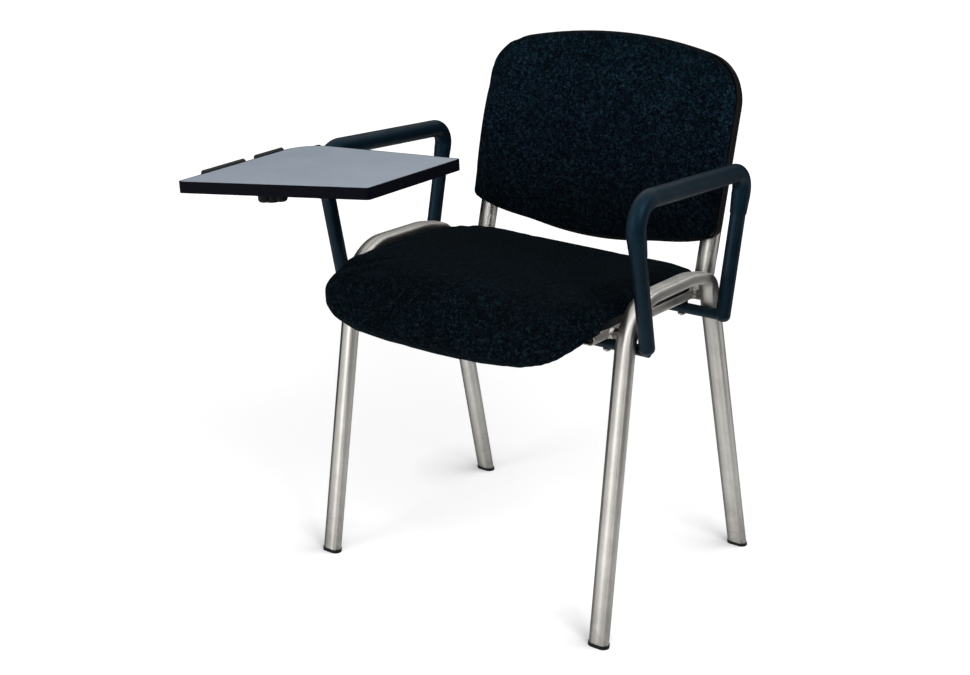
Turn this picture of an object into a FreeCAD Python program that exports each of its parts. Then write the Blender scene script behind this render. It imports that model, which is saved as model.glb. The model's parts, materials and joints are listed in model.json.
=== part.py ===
import FreeCAD, Part
import math
import os

# Stacking chair with a writing tablet on the sitter's right arm.
# Millimetres. The sitter faces -y, the sitter's left is +x, the floor is z = 0.
# The model is made about the seat's own middle plane, x = 0, and is then moved so that
# the origin lies on the floor under the middle of the whole object's box.

V = FreeCAD.Vector
X = V(1, 0, 0)
Y = V(0, 1, 0)
Z = V(0, 0, 1)
LEFT = 1
RIGHT = -1

# Overrun of every cutting solid, and the gaps between pieces
OVERRUN = 5.0
SEAT_GAP = 0.3
REST_GAP = 0.1
HOLE_GAP = 0.2
RUNNING_GAP = 0.05

# Main sizes that the rest follows: the seat's width and the level of the seat rails' axis
SEAT_WIDTH = 469.0
RAIL_AXIS_Z = 455.5

# Frame tube, a flat oval that lies wide across the chair
TUBE_WIDE = 32.0
TUBE_DEEP = 17.0
TUBE_WALL = 1.5

# Side frame: front leg, arched rail and rear leg bent from one tube
LEG_CLEAR = 25.5
LEG_TRACK = SEAT_WIDTH + 2 * LEG_CLEAR
LEG_SPLAY_DEG = 1.0
FOOT_SPREAD = 421.4
LEG_CROWN_RISE = 44.0
LEG_REAR_RISE = 32.6
FRONT_CORNER_Y = -141.0
FRONT_CORNER_Z = RAIL_AXIS_Z + LEG_CROWN_RISE
CROWN_Y = 25.0
REAR_CORNER_Y = 81.9
REAR_CORNER_Z = RAIL_AXIS_Z + LEG_REAR_RISE
FRONT_BEND = 75.0
CROWN_BEND = 150.0
REAR_BEND = 26.0

# Foot caps
SOLE_HEIGHT = 5.0
SOLE_LIP = 1.0
PLUG_HEIGHT = 22.0

# Seat rail and back upright bent from one tube
RAIL_INSET = 23.0
RAIL_SPACING = SEAT_WIDTH - 2 * RAIL_INSET
RAIL_FRONT_Y = -190.0
UPRIGHT_CORNER_Y = 140.4
UPRIGHT_LEAN_DEG = 14.0
UPRIGHT_BEND = 26.0
UPRIGHT_LENGTH = 258.0

# Cross tubes under the seat
CROSS_DIAMETER = 16.0
CROSS_WALL = 1.5
FRONT_CROSS_Y = -144.5
REAR_CROSS_Y = 90.5

# Seat: plastic cover below, bent plywood board, upholstered pad on top
SEAT_FRONT_Y = -283.0
SEAT_REAR_Y = 132.0
SEAT_FRONT_BOW = 18.0
SEAT_REAR_BOW = 8.0
SEAT_FRONT_CORNER = 61.0
SEAT_REAR_CORNER = 62.0
SEAT_PAD_THICK = 32.0
SEAT_ROLL_SETBACK = 78.0
SEAT_ROLL_DROP = 68.0
SEAT_SIDE_ROUND = 30.0
BOARD_THICK = 10.0
BOARD_INSET = 12.0
BOARD_FRONT_SET = 43.0
BOARD_FRONT_CORNER = 80.0
BOARD_NOSE_BEND = 25.0
BOARD_NOSE_DEG = 66.0
HOLLOW_CLEAR_DEG = 6.0
HOLLOW_CLEAR = 1.0
COVER_WALL = 2.5
COVER_RIM = 3.0
COVER_LIP_DEG = 20.0

# Seat pad seen from the side: its points as shares of the front roll and of the thickness,
# the lift of the roll toward the sides, and the places across it where it is shaped
ROLL_LOW_SHARE = 0.30
ROLL_NOSE_SHARE = 0.46
SIDE_LIFT_SHARE = 0.78
SIDE_LIFT_POWER = 4.0
TOP_FRONT_SHARE = 0.94
TOP_REAR_SHARE = 0.25
REAR_REACH_SHARE = 0.45
END_ROUND_SHARE = 0.45
SEAT_SECTION_SHARES = (
    -1.0, -0.985, -0.945, -0.88, -0.79, -0.63, -0.35, 0.0,
    0.35, 0.63, 0.79, 0.88, 0.945, 0.985, 1.0,
)

# Backrest: upholstered pad, curved plywood board, plastic rear shell
BACK_NARROWER = 9.0
BACK_WIDTH = SEAT_WIDTH - BACK_NARROWER
BACK_DATUM_RISE = 24.5
BACK_LOW = 15.0
BACK_HIGH = 348.0
BACK_LOW_BOW = 46.0
BACK_HIGH_BOW = 36.0
BACK_LOW_CORNER = 15.0
BACK_HIGH_CORNER = 78.0
BACK_HOLLOW = 10.5
BACK_PAD_THICK = 31.0
BACK_SIDE_ROUND = 24.0
BACK_BOARD_THICK = 7.0
BACK_BOARD_GAP = 3.5
SHELL_INSET = 1.5
SHELL_FRONT = -12.0
SHELL_REAR = 18.0
SHELL_WALL = 2.0
SHELL_DRAW_IN = 30.0

# Backrest pad: how far its edge tucks in, the edge's share of the thickness, and the places
# across it where it is shaped. Rear shell: places along its depth and how fast it turns in
BACK_TUCK_SHARE = 0.40
BACK_EDGE_SHARE = 0.72
BACK_SECTION_SHARES = (
    -1.0, -0.985, -0.94, -0.87, -0.76, -0.55, -0.28, 0.0,
    0.28, 0.55, 0.76, 0.87, 0.94, 0.985, 1.0,
)
SHELL_DEPTH_SHARES = (0.0, 0.4, 0.68, 0.84, 0.95, 1.0)
SHELL_TURN_POWER = 2.8

# Arms: bent tube loops with a softer sleeve over the top
ARM_TUBE = 23.0
ARM_WALL = 1.5
ARM_TIP = 4.0
ARM_CLEAR = 21.3
ARM_SPACING = LEG_TRACK + 2 * ARM_CLEAR
ARM_FRONT_END_DROP = 11.5
ARM_REAR_END_DROP = 19.5
ARM_FRONT_RISE = 203.5
ARM_REAR_RISE = 192.5
ARM_FRONT_END_Y = -139.0
ARM_FRONT_END_Z = RAIL_AXIS_Z - ARM_FRONT_END_DROP
ARM_REAR_END_Y = 80.0
ARM_REAR_END_Z = RAIL_AXIS_Z - ARM_REAR_END_DROP
ARM_FRONT_TOP_Y = -187.0
ARM_FRONT_TOP_Z = RAIL_AXIS_Z + ARM_FRONT_RISE
ARM_REAR_TOP_Y = 124.0
ARM_REAR_TOP_Z = RAIL_AXIS_Z + ARM_REAR_RISE
ARM_FRONT_BEND = 36.0
ARM_REAR_BEND = 26.0
ARM_FOOT_DIAMETER = 16.5
ARM_FOOT_DROP = 21.0
ARM_FOOT_Z = RAIL_AXIS_Z - ARM_FOOT_DROP
ARM_FOOT_BEYOND = 93.5
ARM_FOOT_INNER_X = RAIL_SPACING / 2 - ARM_FOOT_BEYOND
ARM_FRONT_FOOT_Y = -131.5
ARM_REAR_FOOT_Y = 78.5
FOOT_SPACER = 18.0
PAD_DIAMETER = 28.0
PAD_FRONT_TAIL = 54.0
PAD_REAR_TAIL = 38.0
PAD_CLAMPED_TAIL = 48.0
PAD_TAPER = 26.0
PAD_END_WALL = 0.8

# Fasteners
BOLT_DIAMETER = 6.0
BOLT_HEAD = 12.0
BOLT_HEAD_HEIGHT = 4.0
FRONT_BOLT_Y = -70.0
REAR_BOLT_Y = 25.0
BACK_SCREW_LOW = 95.0
BACK_SCREW_HIGH = 215.0

# Writing tablet: its hinge edge starts at the rear outer corner
TABLET_OUT = 16.1
TABLET_CORNER_X = -(ARM_SPACING / 2 + TABLET_OUT)
TABLET_CORNER_Y = -200.9
TABLET_ABOVE_ARM = 11.0
TABLET_TOP_Z = ARM_FRONT_TOP_Z + TABLET_ABOVE_ARM
TABLET_TURN_DEG = 6.6
TABLET_RISE_DEG = 3.0
TABLET_LENGTH = 296.0
TABLET_FRONT_WIDTH = 287.0
TABLET_REAR_WIDTH = 299.0
TABLET_FRONT_TAPER = 47.0
TABLET_REAR_TAPER = 34.0
TABLET_THICK = 16.0
TABLET_BAND = 2.5
TABLET_CORNER = 7.0
TABLET_REAR_CORNER = 46.0

# Tablet hinges
HINGE_BARREL = 10.0
HINGE_PIN = 4.0
HINGE_PROUD = 3.5
HINGE_LEAF = 2.0
HINGE_LEAF_HEIGHT = 9.0
REAR_HINGE_START = 52.0
REAR_HINGE_LENGTH = 61.0
FRONT_HINGE_START = 143.0
FRONT_HINGE_LENGTH = 89.0
KNUCKLES = 3
HINGE_SCREW = 3.0
HINGE_SCREW_HEAD = 6.0
HINGE_SCREW_LENGTH = 16.0
HINGE_SCREW_INSET = 9.0

# Tablet bracket: a flat bar on edge under the hinges, a cross strap and an arm clamp
BAR_THICK = 5.6
BAR_HEIGHT = 20.0
BAR_TOP_DROP = 8.0
BAR_REAR = -43.0
BAR_FRONT = 237.0
STRAP_WIDE = 25.0
STRAP_THICK = 5.0
STRAP_GAP = 10.0
PLATE_DROP = 68.0
CLAMP_HEIGHT = 22.0
CLAMP_RISE = 143.5
CLAMP_Z = RAIL_AXIS_Z + CLAMP_RISE
CLAMP_DEPTH = 38.0
CLAMP_WALL = 7.0
CLAMP_REACH = 23.0
CLAMP_SPLIT = 1.0
CLAMP_SCREW = 5.0
CLAMP_SCREW_HEAD = 9.0

# Winged levelling knob under the tablet
KNOB_FORWARD = 184.0
KNOB_ACROSS = 76.0
KNOB_SPAN = 42.0
KNOB_HEIGHT = 15.0
KNOB_HUB = 17.0
KNOB_LOBE = 19.0
KNOB_TURN_DEG = 30.0
KNOB_ROUND_SHARE = 0.3
KNOB_SCREW = 6.0
REST_PAD = 18.0
REST_PAD_THICK = 4.0

# Sizes that follow from the ones above
RAIL_TOP_Z = RAIL_AXIS_Z + TUBE_DEEP / 2
BOARD_LOW_Z = RAIL_TOP_Z + COVER_WALL
BOARD_TOP_Z = BOARD_LOW_Z + BOARD_THICK
RAIL_X = RAIL_SPACING / 2
ARM_X = ARM_SPACING / 2
# Hinge axis in the tablet's own frame
HINGE_ACROSS = -HINGE_BARREL / 2
HINGE_UP = HINGE_PROUD - HINGE_BARREL / 2
UPRIGHT_LEAN = math.radians(UPRIGHT_LEAN_DEG)
BACK_ALONG = V(0, math.sin(UPRIGHT_LEAN), math.cos(UPRIGHT_LEAN))
BACK_OUT = V(0, math.cos(UPRIGHT_LEAN), -math.sin(UPRIGHT_LEAN))
# Backrest heights are measured along the uprights from this level of their axis
BACK_DATUM_Z = RAIL_AXIS_Z + BACK_DATUM_RISE
BACK_DATUM = V(0, UPRIGHT_CORNER_Y + (BACK_DATUM_Z - RAIL_AXIS_Z) * math.tan(UPRIGHT_LEAN), BACK_DATUM_Z)


# Helpers

def bent_wire(corners, bends):
    """Straight runs through the corners, with each inner corner rounded to its bend radius."""
    edges = []
    start = corners[0]
    for corner, bend, after in zip(corners[1:-1], bends, corners[2:]):
        back = (start - corner).normalize()
        on = (after - corner).normalize()
        half = back.getAngle(on) / 2
        first = corner + back * (bend / math.tan(half))
        last = corner + on * (bend / math.tan(half))
        inward = (back + on).normalize()
        middle = corner + inward * (bend / math.sin(half) - bend)
        edges.append(Part.makeLine(start, first))
        edges.append(Part.Arc(first, middle, last).toShape())
        start = last
    edges.append(Part.makeLine(start, corners[-1]))
    return Part.Wire(edges)


def oval_wire(center, wide_way, deep_way, wide, deep):
    """Flat oval: two straight sides and two half-round ends."""
    end = deep / 2
    flat = wide_way * (wide / 2 - end)
    side = deep_way * end
    tip = wide_way * (wide / 2)
    return Part.Wire([
        Part.makeLine(center - flat + side, center + flat + side),
        Part.Arc(center + flat + side, center + tip, center + flat - side).toShape(),
        Part.makeLine(center + flat - side, center - flat - side),
        Part.Arc(center - flat - side, center - tip, center - flat + side).toShape(),
    ])


def bent_solid(corners, bends, outline):
    """Carry an outline along straight runs and round the bends between them."""
    face = Part.Face(outline)
    pieces = []
    start = corners[0]
    for corner, bend, after in zip(corners[1:-1], bends, corners[2:]):
        back = (start - corner).normalize()
        on = (after - corner).normalize()
        half = back.getAngle(on) / 2
        first = corner + back * (bend / math.tan(half))
        center = corner + (back + on).normalize() * (bend / math.sin(half))
        axis = on.cross(back)
        turn = math.degrees(math.pi - 2 * half)
        pieces.append(face.extrude(first - start))
        face.translate(first - start)
        pieces.append(face.revolve(center, axis, turn))
        face.rotate(center, axis, turn)
        start = corner + on * (bend / math.tan(half))
    pieces.append(face.extrude(corners[-1] - start))
    return pieces[0].multiFuse(pieces[1:]).removeSplitter()


def oval_tube(corners, bends, wide, deep, wall):
    """Hollow oval tube along bent straight runs that lie in a plane across x, and the same filled."""
    along = (corners[1] - corners[0]).normalize()
    deep_way = along.cross(X)
    outer = bent_solid(corners, bends, oval_wire(corners[0], X, deep_way, wide, deep))
    inner = bent_solid(corners, bends, oval_wire(corners[0], X, deep_way, wide - 2 * wall, deep - 2 * wall))
    return outer.cut(inner), outer


def round_wire(center, along, diameter):
    return Part.Wire([Part.makeCircle(diameter / 2, center, along)])


def round_tube(corners, bends, diameter, wall):
    """Hollow round tube along bent straight runs, and the same filled."""
    along = (corners[1] - corners[0]).normalize()
    outer = bent_solid(corners, bends, round_wire(corners[0], along, diameter))
    inner = bent_solid(corners, bends, round_wire(corners[0], along, diameter - 2 * wall))
    return outer.cut(inner), outer


def rod(start, along, length, diameter):
    return Part.makeCylinder(diameter / 2, length, start, along)


def mirrored(shape):
    return shape.mirror(V(0, 0, 0), X)


def outline_numbers(half, low, high, low_bow, high_bow, low_corner, high_corner):
    """Centres and radii of the bowed ends and rounded corners of a panel outline."""
    numbers = {}
    for name, edge, bow, corner, sign in (
        ("low", low, low_bow, low_corner, 1),
        ("high", high, high_bow, high_corner, -1),
    ):
        big = (half * half + bow * bow) / (2 * bow)
        center = edge + sign * big
        corner_at = center - sign * math.sqrt((big - corner) ** 2 - (half - corner) ** 2)
        share = big / (big - corner)
        touch = ((half - corner) * share, center + (corner_at - center) * share)
        numbers[name] = (edge, big, center, corner, corner_at, touch, sign)
    return numbers


def outline_edge(numbers, name, half, across):
    """Place of the low or high edge of a panel at a distance from its middle."""
    edge, big, center, corner, corner_at, touch, sign = numbers[name]
    across = abs(across)
    if across <= touch[0]:
        return center - sign * math.sqrt(big * big - across * across)
    reach = min(across - (half - corner), corner)
    return corner_at - sign * math.sqrt(corner * corner - reach * reach)


def outline_wire(half, low, high, low_bow, high_bow, low_corner, high_corner, place):
    """Closed panel outline: bowed ends, straight sides and four rounded corners."""
    numbers = outline_numbers(half, low, high, low_bow, high_bow, low_corner, high_corner)
    edges = []
    for name in ("low", "high"):
        edge, big, center, corner, corner_at, touch, sign = numbers[name]
        ends = [place(side * touch[0], touch[1]) for side in (RIGHT, LEFT)]
        edges.append(Part.Arc(ends[0], place(0, edge), ends[1]).toShape())
        for side in (LEFT, RIGHT):
            turn = math.atan2(touch[1] - corner_at, touch[0] - (half - corner)) / 2
            middle = (half - corner + corner * math.cos(turn), corner_at + corner * math.sin(turn))
            edges.append(Part.Arc(
                place(side * touch[0], touch[1]),
                place(side * middle[0], middle[1]),
                place(side * half, corner_at),
            ).toShape())
    for side in (LEFT, RIGHT):
        low, high = [place(side * half, numbers[name][4]) for name in ("low", "high")]
        edges.append(Part.makeLine(low, high))
    return Part.Wire(Part.__sortEdges__(edges))


# Frame

def side_placed(shape):
    """Lean a side-frame shape from the middle plane out to the left side's feet."""
    leaned = shape.copy()
    leaned.rotate(V(0, 0, 0), Y, -LEG_SPLAY_DEG)
    leaned.translate(X * (LEG_TRACK / 2))
    return leaned


def leg_corners():
    return [
        V(0, -FOOT_SPREAD / 2, 0),
        V(0, FRONT_CORNER_Y, FRONT_CORNER_Z),
        V(0, CROWN_Y, FRONT_CORNER_Z),
        V(0, REAR_CORNER_Y, REAR_CORNER_Z),
        V(0, FOOT_SPREAD / 2, 0),
    ]


def above(level):
    """A block that holds all the space over a level."""
    wide = 2 * LEG_TRACK
    return Part.makeBox(wide, wide, wide, V(-wide / 2, -wide / 2, level))


def leg_frame():
    """Left side frame, hollow, and the same tube filled for cutting."""
    bends = [FRONT_BEND, CROWN_BEND, REAR_BEND]
    hollow, filled = oval_tube(leg_corners(), bends, TUBE_WIDE, TUBE_DEEP, TUBE_WALL)
    cutter = above(SOLE_HEIGHT)
    return side_placed(hollow).common(cutter), side_placed(filled).common(cutter)


def foot_cap(foot, corner):
    """Plastic cap: a flat sole under the tube end and a plug inside it."""
    along = (corner - foot).normalize()
    deep_way = along.cross(X)
    start = foot - along * PLUG_HEIGHT
    plug_wide = TUBE_WIDE - 2 * TUBE_WALL - 2 * HOLE_GAP
    plug_deep = TUBE_DEEP - 2 * TUBE_WALL - 2 * HOLE_GAP
    sole = Part.Face(oval_wire(start, X, deep_way, TUBE_WIDE + 2 * SOLE_LIP, TUBE_DEEP + 2 * SOLE_LIP))
    plug = Part.Face(oval_wire(start, X, deep_way, plug_wide, plug_deep))
    sole = side_placed(sole.extrude(along * (2 * PLUG_HEIGHT)))
    plug = side_placed(plug.extrude(along * (2 * PLUG_HEIGHT)))
    wide = 2 * LEG_TRACK
    slab = Part.makeBox(wide, wide, SOLE_HEIGHT, V(-wide / 2, -wide / 2, 0))
    return sole.common(slab).fuse(plug.common(above(0))).removeSplitter()


def rail_corners(side):
    corner = V(side * RAIL_X, UPRIGHT_CORNER_Y, RAIL_AXIS_Z)
    return [
        V(side * RAIL_X, RAIL_FRONT_Y, RAIL_AXIS_Z),
        corner,
        corner + BACK_ALONG * UPRIGHT_LENGTH,
    ]


def seat_rail():
    """Left seat rail and back upright, hollow and filled."""
    return oval_tube(rail_corners(LEFT), [UPRIGHT_BEND], TUBE_WIDE, TUBE_DEEP, TUBE_WALL)


def cross_tube(at_y, rails):
    """Tube between the two seat rails, coped to their sides."""
    start = V(-RAIL_X, at_y, RAIL_AXIS_Z)
    outer = rod(start, X, RAIL_SPACING, CROSS_DIAMETER)
    bore = rod(start - X * OVERRUN, X, RAIL_SPACING + 2 * OVERRUN, CROSS_DIAMETER - 2 * CROSS_WALL)
    for rail in rails:
        outer = outer.cut(rail)
    return outer.cut(bore)


def leg_spacer(at_y, rail, leg):
    """Short round stub that joins a leg to the seat rail beside it."""
    stub = rod(V(RAIL_X, at_y, RAIL_AXIS_Z), X, LEG_TRACK / 2 - RAIL_X, CROSS_DIAMETER)
    return stub.cut(rail).cut(leg)


# Seat

def board_outline(grown):
    """Sizes of the board's plan outline, made larger all round by the amount given."""
    inset = BOARD_INSET - grown
    return (
        SEAT_WIDTH / 2 - inset, SEAT_FRONT_Y + BOARD_FRONT_SET - grown, SEAT_REAR_Y - inset,
        SEAT_FRONT_BOW, SEAT_REAR_BOW, BOARD_FRONT_CORNER + grown, SEAT_REAR_CORNER - inset / 2,
    )


def board_prism(grown):
    """Upright block with the board's plan outline."""
    low = BOARD_LOW_Z - 2 * SEAT_ROLL_DROP
    wire = outline_wire(*board_outline(grown), lambda across, along: V(across, along, low))
    return Part.Face(wire).extrude(Z * (4 * SEAT_ROLL_DROP))


def seat_slab(low_z, high_z, nose_deg):
    """Sheet across the seat, flat behind and bent down over its front."""
    bend_y = SEAT_FRONT_Y + SEAT_ROLL_SETBACK
    center = V(-SEAT_WIDTH, bend_y, BOARD_LOW_Z - BOARD_NOSE_BEND)
    rear_y = SEAT_REAR_Y + OVERRUN
    nose = math.radians(nose_deg)

    def on_bend(radius, angle):
        return center + V(0, -math.sin(angle) * radius, math.cos(angle) * radius)

    low = low_z - center.z
    high = high_z - center.z
    edges = [
        Part.makeLine(V(-SEAT_WIDTH, rear_y, low_z), on_bend(low, 0)),
        Part.Arc(on_bend(low, 0), on_bend(low, nose / 2), on_bend(low, nose)).toShape(),
        Part.makeLine(on_bend(low, nose), on_bend(high, nose)),
        Part.Arc(on_bend(high, nose), on_bend(high, nose / 2), on_bend(high, 0)).toShape(),
        Part.makeLine(on_bend(high, 0), V(-SEAT_WIDTH, rear_y, high_z)),
        Part.makeLine(V(-SEAT_WIDTH, rear_y, high_z), V(-SEAT_WIDTH, rear_y, low_z)),
    ]
    return Part.Face(Part.Wire(edges)).extrude(X * (2 * SEAT_WIDTH))


def seat_board():
    sheet = seat_slab(BOARD_LOW_Z, BOARD_TOP_Z, BOARD_NOSE_DEG)
    return sheet.common(board_prism(0))


def seat_cover():
    """Thin tray under the board with a rim round its edge and a lip behind the front roll."""
    lip_deg = BOARD_NOSE_DEG + COVER_LIP_DEG
    tray = seat_slab(RAIL_TOP_Z, BOARD_TOP_Z, BOARD_NOSE_DEG).common(board_prism(HOLE_GAP + COVER_RIM))
    pocket = seat_slab(BOARD_LOW_Z, BOARD_TOP_Z + OVERRUN, lip_deg).common(board_prism(HOLE_GAP))
    return tray.cut(pocket)


def shoulder(across, half, rounding):
    """How much of its full depth a pad has at a place across it, falling to the side."""
    into = abs(across) - (half - rounding)
    if into <= 0:
        return 1.0
    reach = min(into / rounding, 1.0)
    return END_ROUND_SHARE + (1.0 - END_ROUND_SHARE) * math.sqrt(1.0 - reach * reach)


def hollow_arc(across):
    """Three points, in side view, of the pad's hollow over the cover's front edge."""
    outline = board_outline(HOLE_GAP + COVER_RIM + HOLLOW_CLEAR)
    edge = outline_edge(outline_numbers(*outline), "low", outline[0], across)
    bend_y = SEAT_FRONT_Y + SEAT_ROLL_SETBACK
    radius = BOARD_NOSE_BEND + BOARD_THICK + HOLLOW_CLEAR
    reach = min(max(bend_y - edge, 0) / radius, 1.0)
    turn = min(math.asin(reach), math.radians(BOARD_NOSE_DEG)) + math.radians(HOLLOW_CLEAR_DEG)
    start = max(bend_y, edge)
    center_z = BOARD_LOW_Z - BOARD_NOSE_BEND
    return [(start - radius * math.sin(angle), center_z + radius * math.cos(angle))
            for angle in (0, turn / 2, turn)]


def seat_pad_section(across):
    """Side view of the seat pad at one place across the chair."""
    half = SEAT_WIDTH / 2
    numbers = outline_numbers(
        half, SEAT_FRONT_Y, SEAT_REAR_Y, SEAT_FRONT_BOW, SEAT_REAR_BOW, SEAT_FRONT_CORNER, SEAT_REAR_CORNER,
    )
    front = outline_edge(numbers, "low", half, across)
    rear = outline_edge(numbers, "high", half, across)
    full = shoulder(across, half, SEAT_SIDE_ROUND)
    thick = SEAT_PAD_THICK * full
    base = BOARD_TOP_Z + SEAT_GAP

    def at(y, z):
        return V(across, y, z)

    back = SEAT_ROLL_SETBACK
    drop = SEAT_ROLL_DROP * (1.0 - SIDE_LIFT_SHARE * (abs(across) / half) ** SIDE_LIFT_POWER)
    shrink = (1.0 - full) * SEAT_SIDE_ROUND / 2
    lift = (1.0 - full) * drop / 2
    bend_start, bend_mid, bend_end = [at(y, z) for y, z in hollow_arc(across)]
    low = at(front + back * ROLL_LOW_SHARE + shrink, base - drop + lift)
    nose = at(front + shrink, base - drop * ROLL_NOSE_SHARE)
    top_front = at(front + back, base + thick * TOP_FRONT_SHARE)
    rear_high = thick * TOP_REAR_SHARE
    top_rear = at(rear - rear_high * REAR_REACH_SHARE, base + rear_high)
    rear_low = at(rear - rear_high * REAR_REACH_SHARE, base)
    roll_mid = middle_out(nose, top_front, at(front + back, base - drop * ROLL_NOSE_SHARE))
    low_mid = middle_out(low, nose, at(front + back * ROLL_LOW_SHARE, base - drop * ROLL_NOSE_SHARE))
    crown = at((top_front.y + top_rear.y) / 2, base + thick)
    rear_mid = at(rear, base + rear_high / 2)
    return Part.Wire([
        Part.makeLine(rear_low, bend_start),
        Part.Arc(bend_start, bend_mid, bend_end).toShape(),
        Part.makeLine(bend_end, low),
        Part.Arc(low, low_mid, nose).toShape(),
        Part.Arc(nose, roll_mid, top_front).toShape(),
        Part.Arc(top_front, crown, top_rear).toShape(),
        Part.Arc(top_rear, rear_mid, rear_low).toShape(),
    ])


def middle_out(start, end, center):
    """Middle point of a quarter-round drawn from start to end about a rough centre."""
    middle = (start + end) * 0.5
    away = (middle - center).normalize()
    radius = ((start - center).Length + (end - center).Length) / 2
    return center + away * radius


def seat_pad():
    """Upholstered pad, flat below with a hollow for the board's nose."""
    half = SEAT_WIDTH / 2
    return Part.makeLoft([seat_pad_section(half * share) for share in SEAT_SECTION_SHARES], True, True)


# Backrest

def back_point(across, along, out):
    """A point given across the chair, up the uprights and out to the rear of their axis."""
    return BACK_DATUM + X * across + BACK_ALONG * along + BACK_OUT * out


def hollow_radius():
    return (RAIL_X * RAIL_X + BACK_HOLLOW * BACK_HOLLOW) / (2 * BACK_HOLLOW)


def hollow_center():
    """How far behind the upright axis the hollow's centre lies; the board rests on the tubes' flats."""
    flat_edge = RAIL_X - (TUBE_WIDE - TUBE_DEEP) / 2
    return -TUBE_DEEP / 2 - REST_GAP - math.sqrt(hollow_radius() ** 2 - flat_edge * flat_edge)


def board_rear(across):
    """How far behind the upright axis the curved board's rear face lies."""
    return hollow_center() + math.sqrt(hollow_radius() ** 2 - across * across)


def curved_slab(front, rear):
    """Upright sheet with the backrest's curve, between two offsets from the board's rear face."""
    radius = hollow_radius()
    axis = back_point(0, -BACK_HIGH, hollow_center())
    outer = Part.makeCylinder(radius + rear, 3 * BACK_HIGH, axis, BACK_ALONG)
    inner = Part.makeCylinder(radius + front, 3 * BACK_HIGH, axis, BACK_ALONG)
    return outer.cut(inner)


def back_wire(inset, out):
    shrink = 1 - inset / (2 * BACK_HIGH_CORNER)
    return outline_wire(
        BACK_WIDTH / 2 - inset, BACK_LOW + inset, BACK_HIGH - inset,
        BACK_LOW_BOW, BACK_HIGH_BOW, BACK_LOW_CORNER * shrink, BACK_HIGH_CORNER * shrink,
        lambda across, along: back_point(across, along, out),
    )


def back_prism(inset, front, rear):
    return Part.Face(back_wire(inset, front)).extrude(BACK_OUT * (rear - front))


def back_board():
    inset = SHELL_INSET + SHELL_WALL + BACK_BOARD_GAP
    return back_prism(inset, -BACK_WIDTH, BACK_WIDTH).common(curved_slab(-BACK_BOARD_THICK, 0))


def shell_block(inset, shorten):
    """Rounded block behind the backrest, with its edges drawn in toward a flat rear."""
    wires = [back_wire(inset, -BACK_WIDTH / 4)]
    for share in SHELL_DEPTH_SHARES:
        turn_in = 1 - (1 - share ** SHELL_TURN_POWER) ** (1 / SHELL_TURN_POWER)
        depth = SHELL_FRONT + (SHELL_REAR - shorten - SHELL_FRONT) * share
        wires.append(back_wire(inset + SHELL_DRAW_IN * turn_in, depth))
    return Part.makeLoft(wires, True, True)


def back_shell(rails):
    """Moulded rear shell: a shallow tray round the board, with slots where the uprights enter."""
    front_cut = curved_slab(SEAT_GAP - BACK_BOARD_THICK, 2 * BACK_WIDTH)
    outer = shell_block(SHELL_INSET, 0).common(front_cut)
    shell = outer.cut(shell_block(SHELL_INSET + SHELL_WALL, SHELL_WALL))
    for rail in rails:
        shell = shell.cut(rail)
    return shell


def back_pad_section(across):
    """Side view of the backrest pad at one place across the chair."""
    half = BACK_WIDTH / 2
    numbers = outline_numbers(
        half, BACK_LOW, BACK_HIGH, BACK_LOW_BOW, BACK_HIGH_BOW, BACK_LOW_CORNER, BACK_HIGH_CORNER,
    )
    low = outline_edge(numbers, "low", half, across)
    high = outline_edge(numbers, "high", half, across)
    full = shoulder(across, half, BACK_SIDE_ROUND)
    thick = BACK_PAD_THICK * full
    base = board_rear(across) - BACK_BOARD_THICK - SEAT_GAP
    tuck = BACK_SIDE_ROUND * BACK_TUCK_SHARE

    def at(along, forward):
        return back_point(across, along, base - forward)

    low_base = at(low + tuck, 0)
    high_base = at(high - tuck, 0)
    high_front = at(high - tuck, thick * BACK_EDGE_SHARE)
    low_front = at(low + tuck, thick * BACK_EDGE_SHARE)
    return Part.Wire([
        Part.makeLine(low_base, high_base),
        Part.Arc(high_base, at(high, thick * BACK_EDGE_SHARE / 2), high_front).toShape(),
        Part.Arc(high_front, at((low + high) / 2, thick), low_front).toShape(),
        Part.Arc(low_front, at(low, thick * BACK_EDGE_SHARE / 2), low_base).toShape(),
    ])


def back_pad():
    half = BACK_WIDTH / 2
    return Part.makeLoft([back_pad_section(half * share) for share in BACK_SECTION_SHARES], True, True)


# Arms

def arm_corners():
    return [
        V(ARM_X, ARM_FRONT_END_Y, ARM_FRONT_END_Z),
        V(ARM_X, ARM_FRONT_TOP_Y, ARM_FRONT_TOP_Z),
        V(ARM_X, ARM_REAR_TOP_Y, ARM_REAR_TOP_Z),
        V(ARM_X, ARM_REAR_END_Y, ARM_REAR_END_Z),
    ]


def arm_foot_places():
    return [V(ARM_X, y, ARM_FOOT_Z) for y in (ARM_FRONT_FOOT_Y, ARM_REAR_FOOT_Y)]


def rounded_end(end, away):
    """Solid end of the arm tube, rounded over to a small flat tip."""
    plug = rod(end, away, ARM_TUBE / 2, ARM_TUBE)
    tip = end + away * (ARM_TUBE / 2)
    rims = [edge for edge in plug.Edges if (edge.CenterOfMass - tip).Length < ARM_WALL]
    return plug.makeFillet((ARM_TUBE - ARM_TIP) / 2, rims)


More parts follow.
